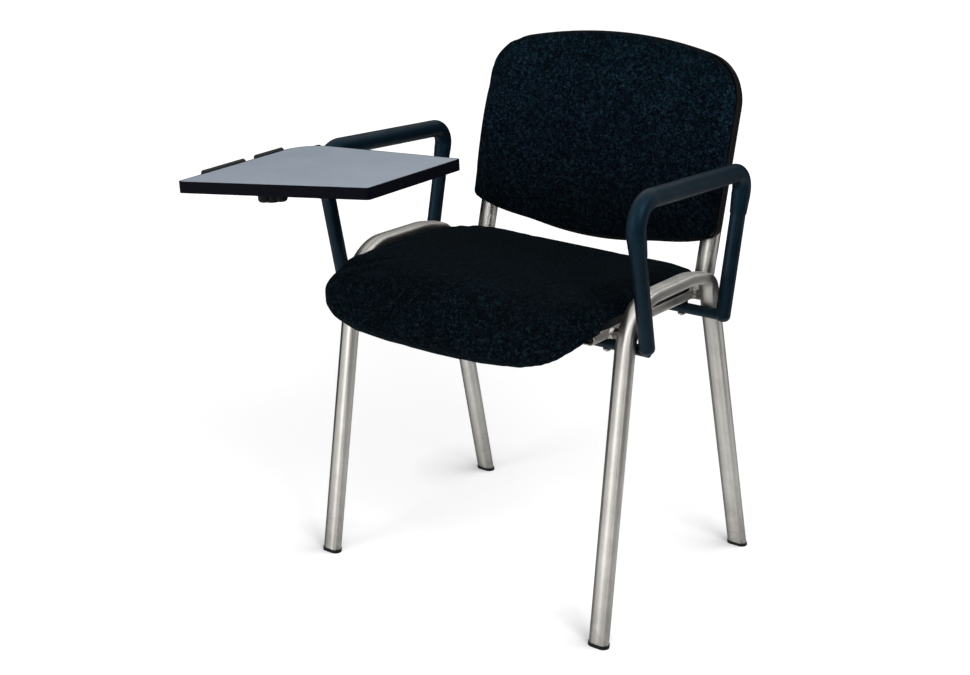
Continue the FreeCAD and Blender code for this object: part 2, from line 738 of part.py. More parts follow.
def arm_loop():
    """Left arm: one round tube with domed lower ends, and a round foot welded into each."""
    corners = arm_corners()
    loop, filled = round_tube(corners, [ARM_FRONT_BEND, ARM_REAR_BEND], ARM_TUBE, ARM_WALL)
    for end, before in ((corners[0], corners[1]), (corners[-1], corners[-2])):
        loop = loop.fuse(rounded_end(end, (end - before).normalize()))
    for place in arm_foot_places():
        reach = ARM_X - ARM_FOOT_INNER_X
        foot = rod(place, X * -1, reach, ARM_FOOT_DIAMETER)
        foot = foot.cut(rod(place, X * -1, reach - ARM_WALL, ARM_FOOT_DIAMETER - 2 * ARM_WALL))
        loop = loop.fuse(foot.cut(filled))
    return loop.removeSplitter()


def arm_pad(front_tail, front_tapers):
    """Soft sleeve over the top run and both upper bends, thinning out at its ends."""
    corners = arm_corners()
    front = corners[1] + (corners[0] - corners[1]).normalize() * front_tail
    rear = corners[2] + (corners[3] - corners[2]).normalize() * PAD_REAR_TAIL
    wall = (PAD_DIAMETER - ARM_TUBE) / 2 - HOLE_GAP
    bends = [ARM_FRONT_BEND, ARM_REAR_BEND]
    sleeve, filled = round_tube([front, corners[1], corners[2], rear], bends, PAD_DIAMETER, wall)
    thin = ARM_TUBE / 2 + HOLE_GAP + PAD_END_WALL
    ends = [(rear, corners[2] - rear)]
    if front_tapers:
        ends.append((front, corners[1] - front))
    for end, inward in ends:
        away = (inward * -1).normalize()
        tip = Part.makeCone(PAD_DIAMETER / 2, thin, PAD_TAPER, end, away)
        bore = rod(end - away * OVERRUN, away, PAD_TAPER + 2 * OVERRUN, ARM_TUBE + 2 * HOLE_GAP)
        sleeve = sleeve.fuse(tip.cut(bore))
    return sleeve.removeSplitter()


def foot_spacers():
    """Collars round the arm bolts, between the arm feet and the seat rails."""
    collars = []
    for at in arm_bolt_places():
        low = at + Z * ARM_FOOT_DIAMETER
        height = RAIL_AXIS_Z - TUBE_DEEP / 2 - low.z
        collar = rod(low, Z, height, FOOT_SPACER)
        collar = collar.cut(rod(low - Z * OVERRUN, Z, height + 2 * OVERRUN, BOLT_DIAMETER + HOLE_GAP))
        collars += [collar, mirrored(collar)]
    return Part.makeCompound(collars)


# Fasteners

def bolt(head_at, along, length, diameter, head, head_height):
    """Bolt whose bevelled round head bears at a point and whose shank runs on along the way given."""
    shank = rod(head_at - along * (head_height / 2), along, length + head_height / 2, diameter)
    rim = rod(head_at - along * (head_height / 2), along, head_height / 2, head)
    bevel = Part.makeCone(head / 4, head / 2, head_height / 2, head_at - along * head_height, along)
    return rim.fuse(bevel).fuse(shank).removeSplitter()


def seat_bolt_places():
    return [V(side * RAIL_X, y, RAIL_AXIS_Z - TUBE_DEEP / 2) for side in (LEFT, RIGHT)
            for y in (FRONT_BOLT_Y, REAR_BOLT_Y)]


def arm_bolt_places():
    """Points on the underside of the arm feet, below the seat rails."""
    return [V(RAIL_X, place.y, ARM_FOOT_Z - ARM_FOOT_DIAMETER / 2) for place in arm_foot_places()]


def back_screw_places():
    """Points on the rear of the uprights."""
    return [back_point(side * RAIL_X, along, TUBE_DEEP / 2) for side in (LEFT, RIGHT)
            for along in (BACK_SCREW_LOW, BACK_SCREW_HIGH)]


# Writing tablet, made flat in its own frame: forward along the hinge edge, across to the lap, up

def tablet_placed(shape):
    """Raise the lap side, turn to the hinge edge's direction and set the corner in its place."""
    placed = shape.copy()
    placed.rotate(V(0, 0, 0), X, TABLET_RISE_DEG)
    placed.rotate(V(0, 0, 0), Z, TABLET_TURN_DEG - 90.0)
    placed.translate(V(TABLET_CORNER_X, TABLET_CORNER_Y, TABLET_TOP_Z))
    return placed


def tablet_wire(inset, level):
    """Tapered board outline with small corners and one large rear corner at the hinge."""
    corners = [
        V(0, 0, level),
        V(TABLET_LENGTH, 0, level),
        V(TABLET_LENGTH - TABLET_FRONT_TAPER, TABLET_FRONT_WIDTH, level),
        V(TABLET_REAR_TAPER, TABLET_REAR_WIDTH, level),
    ]
    radii = [TABLET_REAR_CORNER, TABLET_CORNER, TABLET_CORNER, TABLET_CORNER]
    middle = [(corners[index] + corners[index - 1]) * 0.5 for index in (0, 1, 2, 3)]
    edges = []
    for index, corner in enumerate(corners):
        here = middle[index]
        there = middle[(index + 1) % len(corners)]
        edges += bent_wire([here, corner, there], [radii[index]]).Edges
    wire = Part.Wire(edges)
    if inset == 0:
        return wire
    return wire.makeOffset2D(-inset)


def tablet_core():
    return Part.Face(tablet_wire(TABLET_BAND, 0)).extrude(Z * -TABLET_THICK)


def tablet_band():
    whole = Part.Face(tablet_wire(0, 0)).extrude(Z * -TABLET_THICK)
    return whole.cut(Part.Face(tablet_wire(TABLET_BAND, OVERRUN)).extrude(Z * -(TABLET_THICK + 2 * OVERRUN)))


def hinge_leaf(start, length, on_board):
    """One leaf of a butt hinge: a plate below the barrel and its share of the knuckles."""
    width = length / KNUCKLES
    leaf_top = HINGE_UP - HINGE_BARREL / 2 - SEAT_GAP
    leaf_low = leaf_top - HINGE_LEAF_HEIGHT
    if on_board:
        plate_from = HINGE_ACROSS + HINGE_BARREL / 2 - HINGE_LEAF
    else:
        plate_from = HINGE_ACROSS - HINGE_BARREL / 2
    leaf = Part.makeBox(length, HINGE_LEAF, HINGE_LEAF_HEIGHT, V(start, plate_from, leaf_low))
    for index in range(KNUCKLES):
        if (index % 2 == 1) != on_board:
            continue
        first = start + index * width
        gap = RUNNING_GAP * 2
        knuckle = rod(V(first + gap, HINGE_ACROSS, HINGE_UP), X, width - 2 * gap, HINGE_BARREL)
        web_at = V(first + gap, plate_from, leaf_low)
        web = Part.makeBox(width - 2 * gap, HINGE_LEAF, HINGE_UP - leaf_low, web_at)
        leaf = leaf.fuse(knuckle).fuse(web)
    bore = rod(V(start - OVERRUN, HINGE_ACROSS, HINGE_UP), X, length + 2 * OVERRUN,
               HINGE_PIN + 2 * (RUNNING_GAP if on_board else 0))
    leaf = leaf.cut(bore)
    for place in hinge_screw_places(start, length):
        hole = rod(V(place, plate_from - OVERRUN, (leaf_low + leaf_top) / 2), Y,
                   HINGE_LEAF + 2 * OVERRUN, HINGE_SCREW + HOLE_GAP)
        leaf = leaf.cut(hole)
    return leaf.removeSplitter()


def hinge_screw_places(start, length):
    return [start + HINGE_SCREW_INSET, start + length - HINGE_SCREW_INSET]


def hinge_pin(start, length):
    return rod(V(start, HINGE_ACROSS, HINGE_UP), X, length, HINGE_PIN)


def hinge_leaf_middle():
    return HINGE_UP - HINGE_BARREL / 2 - SEAT_GAP - HINGE_LEAF_HEIGHT / 2


def board_hinge_screws():
    """Screws through the board leaves into the tablet's edge."""
    screws = []
    for start, length in hinge_spans():
        for place in hinge_screw_places(start, length):
            head_at = V(place, -HINGE_LEAF, hinge_leaf_middle())
            screws.append(rod(head_at, Y, HINGE_SCREW_LENGTH, HINGE_SCREW))
    return screws


def hinge_spans():
    return [(REAR_HINGE_START, REAR_HINGE_LENGTH), (FRONT_HINGE_START, FRONT_HINGE_LENGTH)]


def bar_faces():
    """Inner and outer face of the bracket's bar in the tablet's frame."""
    outer = HINGE_ACROSS - HINGE_BARREL / 2 + HINGE_LEAF
    return outer, outer + BAR_THICK


def arm_hinge_screws():
    """Screws from outside through the fixed leaves into the bar."""
    screws = []
    outer = HINGE_ACROSS - HINGE_BARREL / 2
    for start, length in hinge_spans():
        for place in hinge_screw_places(start, length):
            head_at = V(place, outer, hinge_leaf_middle())
            reach = HINGE_LEAF + BAR_THICK - HOLE_GAP
            screws.append(bolt(head_at, Y, reach, HINGE_SCREW, HINGE_SCREW_HEAD, HINGE_LEAF))
    return screws


def tablet_bar():
    """Flat bar on edge under the hinges, with the cross strap for the levelling knob."""
    outer, inner = bar_faces()
    top = HINGE_UP - BAR_TOP_DROP
    bar = Part.makeBox(BAR_FRONT - BAR_REAR, BAR_THICK, BAR_HEIGHT, V(BAR_REAR, outer, top - BAR_HEIGHT))
    strap_top = -TABLET_THICK - STRAP_GAP
    strap = Part.makeBox(STRAP_WIDE, KNOB_ACROSS - outer, STRAP_THICK,
                         V(KNOB_FORWARD - STRAP_WIDE / 2, outer, strap_top - STRAP_THICK))
    end = rod(V(KNOB_FORWARD, KNOB_ACROSS, strap_top - STRAP_THICK), Z, STRAP_THICK, STRAP_WIDE)
    plate = Part.makeBox(CLAMP_DEPTH, BAR_THICK, PLATE_DROP, V(BAR_REAR, outer, top - PLATE_DROP))
    bar = bar.fuse(strap).fuse(end).fuse(plate)
    hole = rod(V(KNOB_FORWARD, KNOB_ACROSS, strap_top - STRAP_THICK - OVERRUN), Z,
               STRAP_THICK + 2 * OVERRUN, KNOB_SCREW + 2 * RUNNING_GAP)
    bar = bar.cut(hole)
    for start, length in hinge_spans():
        for place in hinge_screw_places(start, length):
            bar = bar.cut(rod(V(place, outer - OVERRUN, hinge_leaf_middle()), Y,
                              BAR_THICK + 2 * OVERRUN, HINGE_SCREW))
    return bar.removeSplitter()


def clamp_frame():
    """Centre of the clamp on the right arm's front run, and the run's direction."""
    low = V(-ARM_X, ARM_FRONT_END_Y, ARM_FRONT_END_Z)
    top = V(-ARM_X, ARM_FRONT_TOP_Y, ARM_FRONT_TOP_Z)
    along = (top - low).normalize()
    center = low + along * ((CLAMP_Z - ARM_FRONT_END_Z) / along.z)
    return center, along


def clamp_block(from_x, to_x):
    """Block round the arm's front run between two distances outward from its axis."""
    center, along = clamp_frame()
    across = along.cross(X)
    corner = center - along * (CLAMP_HEIGHT / 2) - across * (CLAMP_DEPTH / 2) + X * from_x
    face = Part.Face(Part.makePolygon([
        corner, corner + across * CLAMP_DEPTH, corner + across * CLAMP_DEPTH + along * CLAMP_HEIGHT,
        corner + along * CLAMP_HEIGHT, corner,
    ]))
    block = face.extrude(X * (to_x - from_x))
    bore = rod(center - along * CLAMP_HEIGHT, along, 2 * CLAMP_HEIGHT, ARM_TUBE + 2 * HOLE_GAP)
    block = block.cut(bore)
    for place in clamp_screw_places():
        block = block.cut(rod(place - X * CLAMP_DEPTH, X, 2 * CLAMP_DEPTH, CLAMP_SCREW + HOLE_GAP))
    return block


def clamp_screw_places():
    """Screw axes in front of and behind the arm tube, on its middle plane."""
    center, along = clamp_frame()
    across = along.cross(X)
    offset = (ARM_TUBE + CLAMP_SCREW) / 2 + HOLE_GAP
    return [center + across * offset, center - across * offset]


def clamp_outer():
    """Half width of the outer clamp block, which reaches out to the bar."""
    return ARM_TUBE / 2 + CLAMP_WALL


def knob():
    """Two-lobed hand knob in the tablet's frame, with a round hub."""
    top = -TABLET_THICK - STRAP_GAP - STRAP_THICK - SEAT_GAP
    low = V(KNOB_FORWARD, KNOB_ACROSS, top - KNOB_HEIGHT)
    body = rod(low, Z, KNOB_HEIGHT, KNOB_HUB)
    way = V(math.sin(math.radians(KNOB_TURN_DEG)) * -1, math.cos(math.radians(KNOB_TURN_DEG)), 0)
    reach = (KNOB_SPAN - KNOB_LOBE) / 2
    for side in (LEFT, RIGHT):
        lobe_at = low + way * (side * reach)
        lobe = rod(lobe_at, Z, KNOB_HEIGHT, KNOB_LOBE)
        rims = [edge for edge in lobe.Edges if len(edge.Vertexes) == 1]
        body = body.fuse(lobe.makeFillet(KNOB_HEIGHT * KNOB_ROUND_SHARE, rims))
    bore = rod(low + Z * (KNOB_HEIGHT / 4), Z, KNOB_HEIGHT, KNOB_SCREW)
    return body.cut(bore).removeSplitter()


def knob_screw():
    start = -TABLET_THICK - STRAP_GAP - STRAP_THICK - SEAT_GAP - KNOB_HEIGHT * 3 / 4
    end = -TABLET_THICK - SEAT_GAP - REST_PAD_THICK / 2
    return rod(V(KNOB_FORWARD, KNOB_ACROSS, start), Z, end - start, KNOB_SCREW)


def rest_pad():
    """Rubber tip on the knob's screw, on which the tablet rests."""
    low = V(KNOB_FORWARD, KNOB_ACROSS, -TABLET_THICK - SEAT_GAP - REST_PAD_THICK)
    tip = rod(low, Z, REST_PAD_THICK, REST_PAD)
    return tip.cut(rod(low - Z * OVERRUN, Z, OVERRUN + REST_PAD_THICK / 2, KNOB_SCREW))


# All pieces

def build_frame(nodes):
    leg_hollow, leg_filled = leg_frame()
    rail_hollow, rail_filled = seat_rail()
    corners = leg_corners()
    front_cap = foot_cap(corners[0], corners[1])
    rear_cap = foot_cap(corners[-1], corners[-2])
    rails = [rail_filled, mirrored(rail_filled)]
    for at in seat_bolt_places() + arm_bolt_places():
        if at.x > 0:
            reach = RAIL_TOP_Z + OVERRUN - at.z
            rail_hollow = rail_hollow.cut(rod(at, Z, reach, BOLT_DIAMETER + HOLE_GAP))
    for at in back_screw_places():
        if at.x > 0:
            rail_hollow = rail_hollow.cut(rod(at + BACK_OUT * OVERRUN, BACK_OUT * -1, TUBE_DEEP + 2 * OVERRUN,
                                              BOLT_DIAMETER + HOLE_GAP))
    for side, name in ((LEFT, "left"), (RIGHT, "right")):
        keep = (lambda shape: shape) if side == LEFT else mirrored
        nodes["leg_frame_" + name] = keep(leg_hollow)
        nodes["seat_rail_" + name] = keep(rail_hollow)
        nodes["foot_cap_front_" + name] = keep(front_cap)
        nodes["foot_cap_rear_" + name] = keep(rear_cap)
        for at_y, place in ((FRONT_CROSS_Y, "front"), (REAR_CROSS_Y, "rear")):
            nodes["leg_spacer_" + place + "_" + name] = keep(leg_spacer(at_y, rail_filled, leg_filled))
    nodes["cross_tube_front"] = cross_tube(FRONT_CROSS_Y, rails)
    nodes["cross_tube_rear"] = cross_tube(REAR_CROSS_Y, rails)
    return rails


def build_seat(nodes):
    board = seat_board()
    cover = seat_cover()
    bolts = []
    reach = COVER_WALL + BOARD_THICK * 3 / 4
    for at in seat_bolt_places():
        bolts.append(bolt(at, Z, TUBE_DEEP + reach, BOLT_DIAMETER, BOLT_HEAD, BOLT_HEAD_HEIGHT))
    long_bolts = []
    for at in arm_bolt_places():
        long_bolts.append(bolt(at, Z, RAIL_TOP_Z - at.z + reach, BOLT_DIAMETER, BOLT_HEAD, BOLT_HEAD_HEIGHT))
    long_bolts += [mirrored(item) for item in long_bolts]
    for item in bolts + long_bolts:
        shank = item.BoundBox
        hole = rod(V(shank.Center.x, shank.Center.y, shank.ZMin), Z, shank.ZLength, BOLT_DIAMETER)
        board = board.cut(hole)
        cover = cover.cut(rod(V(shank.Center.x, shank.Center.y, shank.ZMin), Z, shank.ZLength,
                              BOLT_DIAMETER + HOLE_GAP))
    nodes["seat_board"] = board
    nodes["seat_cover"] = cover
    nodes["seat_pad"] = seat_pad()
    nodes["seat_bolts"] = Part.makeCompound(bolts)
    nodes["arm_bolts"] = Part.makeCompound(long_bolts)
    nodes["arm_foot_spacers"] = foot_spacers()


def build_back(nodes, rails):
    board = back_board()
    shell = back_shell(rails)
    screws = []
    for at in back_screw_places():
        reach = TUBE_DEEP + BACK_BOARD_THICK * 3 / 4
        head_at = at + BACK_OUT * HOLE_GAP
        screws.append(bolt(head_at, BACK_OUT * -1, reach, BOLT_DIAMETER, BOLT_HEAD, BOLT_HEAD_HEIGHT))
        board = board.cut(rod(head_at, BACK_OUT * -1, reach + HOLE_GAP, BOLT_DIAMETER))
        shell = shell.cut(rod(at, BACK_OUT, SHELL_REAR * 2, BOLT_HEAD + 2 * HOLE_GAP))
    nodes["back_board"] = board
    nodes["back_shell"] = shell
    nodes["back_pad"] = back_pad()
    nodes["back_screws"] = Part.makeCompound(screws)


def build_arms(nodes):
    loop = arm_loop()
    for at in arm_bolt_places():
        loop = loop.cut(rod(at - Z * OVERRUN, Z, ARM_FOOT_DIAMETER + 2 * OVERRUN, BOLT_DIAMETER + HOLE_GAP))
    nodes["arm_loop_left"] = loop
    nodes["arm_pad_left"] = arm_pad(PAD_FRONT_TAIL, True)
    nodes["arm_loop_right"] = mirrored(loop)
    nodes["arm_pad_right"] = mirrored(arm_pad(PAD_CLAMPED_TAIL, False))


def build_tablet(nodes):
    core = tablet_core()
    band = tablet_band()
    inner_screws = board_hinge_screws()
    for screw in inner_screws:
        core = core.cut(screw)
        band = band.cut(screw)
    nodes["tablet_board"] = tablet_placed(core)
    nodes["tablet_edge_band"] = tablet_placed(band)
    for name, (start, length) in zip(("rear", "front"), hinge_spans()):
        nodes["hinge_board_leaf_" + name] = tablet_placed(hinge_leaf(start, length, True))
        nodes["hinge_arm_leaf_" + name] = tablet_placed(hinge_leaf(start, length, False))
        nodes["hinge_pin_" + name] = tablet_placed(hinge_pin(start, length))
    nodes["hinge_board_screws"] = Part.makeCompound([tablet_placed(item) for item in inner_screws])
    nodes["hinge_arm_screws"] = Part.makeCompound([tablet_placed(item) for item in arm_hinge_screws()])
    block = clamp_block(-CLAMP_REACH, -CLAMP_SPLIT / 2)
    jaw = clamp_block(CLAMP_SPLIT / 2, clamp_outer())
    nodes["tablet_bracket"] = tablet_placed(tablet_bar()).fuse(block).removeSplitter()
    nodes["clamp_jaw"] = jaw
    screws = []
    for place in clamp_screw_places():
        head_at = place + X * clamp_outer()
        reach = clamp_outer() + ARM_TUBE / 2
        screws.append(bolt(head_at, X * -1, reach, CLAMP_SCREW, CLAMP_SCREW_HEAD, BOLT_HEAD_HEIGHT))
    nodes["clamp_screws"] = Part.makeCompound(screws)
    nodes["levelling_knob"] = tablet_placed(knob())
    nodes["levelling_screw"] = tablet_placed(knob_screw())
    nodes["levelling_tip"] = tablet_placed(rest_pad())


def main():
    nodes = {}
    rails = build_frame(nodes)
    build_seat(nodes)
    build_back(nodes, rails)
    build_arms(nodes)
    build_tablet(nodes)
    whole = Part.makeCompound(list(nodes.values())).optimalBoundingBox(False, False)
    shift = V(-whole.Center.x, -whole.Center.y, -whole.ZMin)
    os.makedirs("parts", exist_ok=True)
    for name, shape in nodes.items():
        shape = shape.copy()
        shape.translate(shift)
        shape.exportStep(os.path.join("parts", name + ".step"))
    print("shift", [round(value, 4) for value in shift])
    print("size", round(whole.XLength, 3), round(whole.YLength, 3), round(whole.ZLength, 3))
    print("nodes", len(nodes))
    for name, shape in nodes.items():
        print(name, len(shape.Solids), shape.isValid(), round(shape.Volume, 1))


main()
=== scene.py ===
import json
import math

import bmesh
import bpy
import numpy as np
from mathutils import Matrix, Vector


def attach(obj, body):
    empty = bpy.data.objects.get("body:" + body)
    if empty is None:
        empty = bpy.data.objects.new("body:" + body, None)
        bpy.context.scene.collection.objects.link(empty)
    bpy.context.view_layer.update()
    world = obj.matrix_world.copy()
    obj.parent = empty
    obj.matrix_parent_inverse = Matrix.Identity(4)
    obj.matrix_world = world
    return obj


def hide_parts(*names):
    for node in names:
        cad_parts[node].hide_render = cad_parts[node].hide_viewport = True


# Looks of the stacking chair with a writing tablet. Metres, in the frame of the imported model:
# the sitter faces -y, the sitter's left is +x, the floor is z = 0.

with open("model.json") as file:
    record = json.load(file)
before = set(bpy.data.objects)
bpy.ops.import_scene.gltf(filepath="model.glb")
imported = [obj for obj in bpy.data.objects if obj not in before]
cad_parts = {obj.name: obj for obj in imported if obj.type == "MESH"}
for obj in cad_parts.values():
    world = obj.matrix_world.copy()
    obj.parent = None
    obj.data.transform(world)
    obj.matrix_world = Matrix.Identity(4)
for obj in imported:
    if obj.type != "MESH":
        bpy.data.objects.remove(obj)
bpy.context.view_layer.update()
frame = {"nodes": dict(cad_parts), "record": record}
NODES = frame["nodes"]
SCENE = bpy.context.scene

# Places and sizes that the pieces below share with the solids
MIDDLE_X = 0.0072422
SHIFT_Y = 0.1251624
RAIL_SPACING = 0.423
RAIL_Z = 0.4555
CROSS_RADIUS = 0.008
CROSS_PLACES = (SHIFT_Y - 0.1445, SHIFT_Y + 0.0905)
TUBE_HALF_WIDE = 0.016
TUBE_HALF_DEEP = 0.0085
BACK_LEAN = math.radians(14.0)
BACK_OUT = Vector((0, math.cos(BACK_LEAN), -math.sin(BACK_LEAN)))
BACK_UP = np.array((0, math.sin(BACK_LEAN), math.cos(BACK_LEAN)))

# Steel tubes: where each lies or stands, for the direction of its polish
RAIL_OUTSIDE = 0.232
RAIL_BEND = (0.475, 0.520)
LEG_BEND = (0.430, 0.490)
LEG_REAR_Y = 0.12
LEG_TOP_Z = 0.49
LEG_FOOT_OUT = 0.2598
LEG_TOP_OUT = 0.2520
TUBE_CROWN = 0.0062
# Height below which painted shade darkens the steel towards the floor
TUBE_SHADE_TOP = 0.13

# Heights and depths of the cloth's painted light and shade, the height above which plywood is the
# back's, its layers in a metre, and the heights over which the armrests are worn smooth
CLOTH_LOW = 0.44
CLOTH_HIGH = 0.82
SEAT_LIGHT_Y = -0.11
SEAT_DARK_Y = 0.06
BACK_FROM_Z = 0.53
PLY_LAYERS = 690.0
ARM_TOP = (0.655, 0.672)

# Cushions
CUSHION_VOXEL = 0.005
CUSHION_INSET = 0.0006
SMOOTH_ROUNDS = 6
BASE_FROM = 0.35
BASE_OVER = 0.35
SWELL_CAP = 0.004
SWELL_FRAMES = 20
MERGE_WITHIN = 1e-5
CLOTH = {
    "quality": 5,
    "mass": 0.3,
    "tension_stiffness": 18,
    "compression_stiffness": 12,
    "shear_stiffness": 8,
    "bending_stiffness": 2,
    "use_pressure": True,
    "uniform_pressure_force": 4,
    "vertex_group_mass": "base",
}

# Fuller corners than the solids have: how far, and where each starts and ends. The seat's two
# front corners are given as the place beside the middle and the width of a smooth hump.
BACK_CORNER_DROP = 0.011
BACK_CORNER_SIDE = (0.10, 0.215)
BACK_CORNER_Z = (0.64, 0.555)
SEAT_CORNER_FILL = 0.0065
SEAT_CORNER_Y = (-0.098, -0.125)
SEAT_RIGHT_CORNER = (-0.19, 0.088)
SEAT_LEFT_CORNER = (0.195, 0.06)
SEAT_LEFT_SHARE = 0.25
SEAT_REAR_LIFT = 0.0045
SEAT_REAR_Y = (0.06, 0.19)
SEAT_REAR_SIDE = (0.02, -0.13)
SEAT_REAR_LEAST = 0.25

# Weld beads and bolt sockets
WELD_BEAD = 0.0013
WELD_RIPPLES = ((0.16, 2.1), (0.07, 0.73))
WELD_STEPS = 40
BEAD_SIDES = 8
SOCKET_STEPS = 24
HEAD_FLAT = 0.0001
HEAD_APART = 0.008
BOLT_HEAD = 0.0029
CLAMP_HEAD = 0.0021
SOCKET_RINGS = (
    # share of the head's radius, height over the head, hexagon or round
    (0.98, 0.0, False),
    (0.92, 0.00035, False),
    (0.66, 0.00035, True),
    (0.62, 0.00005, True),
)

# Camera, lamps and boards of the studio: azimuth 0 is in front of the chair, 90 on its left
CAMERA_PLACE = (1.35544, -1.81342, 1.16076)
CAMERA_AZIMUTH = 36.85
CAMERA_ELEVATION = 18.66
CAMERA_LENS = 58.62
CAMERA_SENSOR = 36.0
CAMERA_CLIP = (0.05, 200.0)
LAMP_TARGET = Vector((0, 0, 0.45))
LAMPS = (
    # name, azimuth, elevation, distance, width, height, watts
    ("key", 66, 36, 2.6, 1.0, 1.0, 30),
    ("side", -18, 18, 2.6, 1.1, 1.8, 20),
    ("top", 20, 80, 2.2, 1.4, 1.4, 4),
)
FLAG_SPANS = ((82, 42), (178, 36), (-110, 32))
FLAG_REACH = 1.15
FLAG_LOW = 0.001
FLAG_HEIGHT = 1.25
FLAG_GREY = 0.01
WORLD_LIGHT = 0.40
WORLD_SEEN = 0.60
FLOOR_HALF = 30
FLOOR_GREY = 0.80
FLOOR_GLOSSY = 0.32
FLOOR_GLOW = {"From Min": 0.5, "From Max": 3.0, "To Min": 0.545, "To Max": 0.78}
FOOT_SHADE = {"From Min": 0.77, "From Max": 1.0, "To Min": 0.40, "To Max": 1.0}
FOOT_SHADE_TOWARD = {"X": 0.984, "Y": -0.034, "Z": 0.174}
FOOT_SHADE_REACH = 0.12
FOOT_SHADE_SAMPLES = 16


# Materials

class Paint:
    """A material whose nodes are added one at a time and linked to the shader."""

    def __init__(self, name, **values):
        self.material = bpy.data.materials.new(name)
        self.material.use_nodes = True
        self.tree = self.material.node_tree
        self.shader = self.tree.nodes["Principled BSDF"]
        for socket, value in values.items():
            self.shader.inputs[socket.replace("_", " ")].default_value = value
        self.place = self.tree.nodes.new("ShaderNodeTexCoord").outputs["Object"]

    def add(self, kind, inputs=None, **settings):
        node = self.tree.nodes.new(kind)
        for name, value in settings.items():
            setattr(node, name, value)
        for name, value in (inputs or {}).items():
            self.feed(node.inputs[name], value)
        return node

    def feed(self, socket, value):
        if isinstance(value, bpy.types.NodeSocket):
            self.tree.links.new(value, socket)
        else:
            socket.default_value = value

    def stretched(self, scale, turn=(0, 0, 0)):
        settings = {"Vector": self.place, "Scale": scale, "Rotation": turn}
        return self.add("ShaderNodeMapping", settings).outputs["Vector"]

    def noise(self, scale, detail=2.0, rough=0.5, at=None):
        return self.add("ShaderNodeTexNoise", {
            "Vector": at or self.place, "Scale": scale, "Detail": detail, "Roughness": rough,
        }).outputs["Fac"]

    def cells(self, scale, at=None, feature="F1"):
        settings = {"Vector": at or self.place, "Scale": scale}
        return self.add("ShaderNodeTexVoronoi", settings, feature=feature).outputs

    def parts(self, vector):
        return self.add("ShaderNodeSeparateXYZ", {"Vector": vector}).outputs

    def channels(self, colour):
        return self.add("ShaderNodeSeparateColor", {"Color": colour}).outputs

    def math(self, operation, first, second=0.0, third=0.0, clamp=False):
        settings = {0: first, 1: second, 2: third}
        return self.add("ShaderNodeMath", settings, operation=operation, use_clamp=clamp).outputs[0]

    def times(self, first, second):
        return self.math("MULTIPLY", first, second)

    def plus(self, first, second):
        return self.math("ADD", first, second)

    def minus(self, first, second):
        return self.math("SUBTRACT", first, second)

    def tinted(self, colour, tint):
        node = self.add("ShaderNodeVectorMath", {0: colour, 1: tint}, operation="MULTIPLY")
        return node.outputs["Vector"]

    def ramp(self, value, stops):
        node = self.add("ShaderNodeValToRGB", {"Fac": value})
        elements = node.color_ramp.elements
        while len(elements) < len(stops):
            elements.new(0.5)
        for element, (place, colour) in zip(elements, stops):
            element.position = place
            element.color = (*colour, 1)
        return node.outputs["Color"]

    def span(self, value, low, high, to_low, to_high):
        return self.add("ShaderNodeMapRange", {
            "Value": value, "From Min": low, "From Max": high, "To Min": to_low, "To Max": to_high,
        }).outputs["Result"]

    def blend(self, share, first, second):
        node = self.add("ShaderNodeMix", data_type="RGBA", clamp_result=True)
        self.feed(node.inputs[0], share)
        for socket, value in ((node.inputs[6], first), (node.inputs[7], second)):
            self.feed(socket, (*value, 1) if isinstance(value, tuple) else value)
        return node.outputs[2]

    def colour(self, value):
        self.feed(self.shader.inputs["Base Color"], value)

    def rough(self, value):
        self.feed(self.shader.inputs["Roughness"], value)

    def bump(self, layers, edge=0.0):
        """Bump layers as (height, strength, distance); edge softens sharp edges by that radius."""
        normal = None
        if edge:
            normal = self.add("ShaderNodeBevel", {"Radius": edge}, samples=4).outputs["Normal"]
        for height, strength, distance in layers:
            settings = {"Height": height, "Strength": strength, "Distance": distance}
            node = self.add("ShaderNodeBump", settings)
            if normal is not None:
                self.feed(node.inputs["Normal"], normal)
            normal = node.outputs["Normal"]
        self.feed(self.shader.inputs["Normal"], normal)


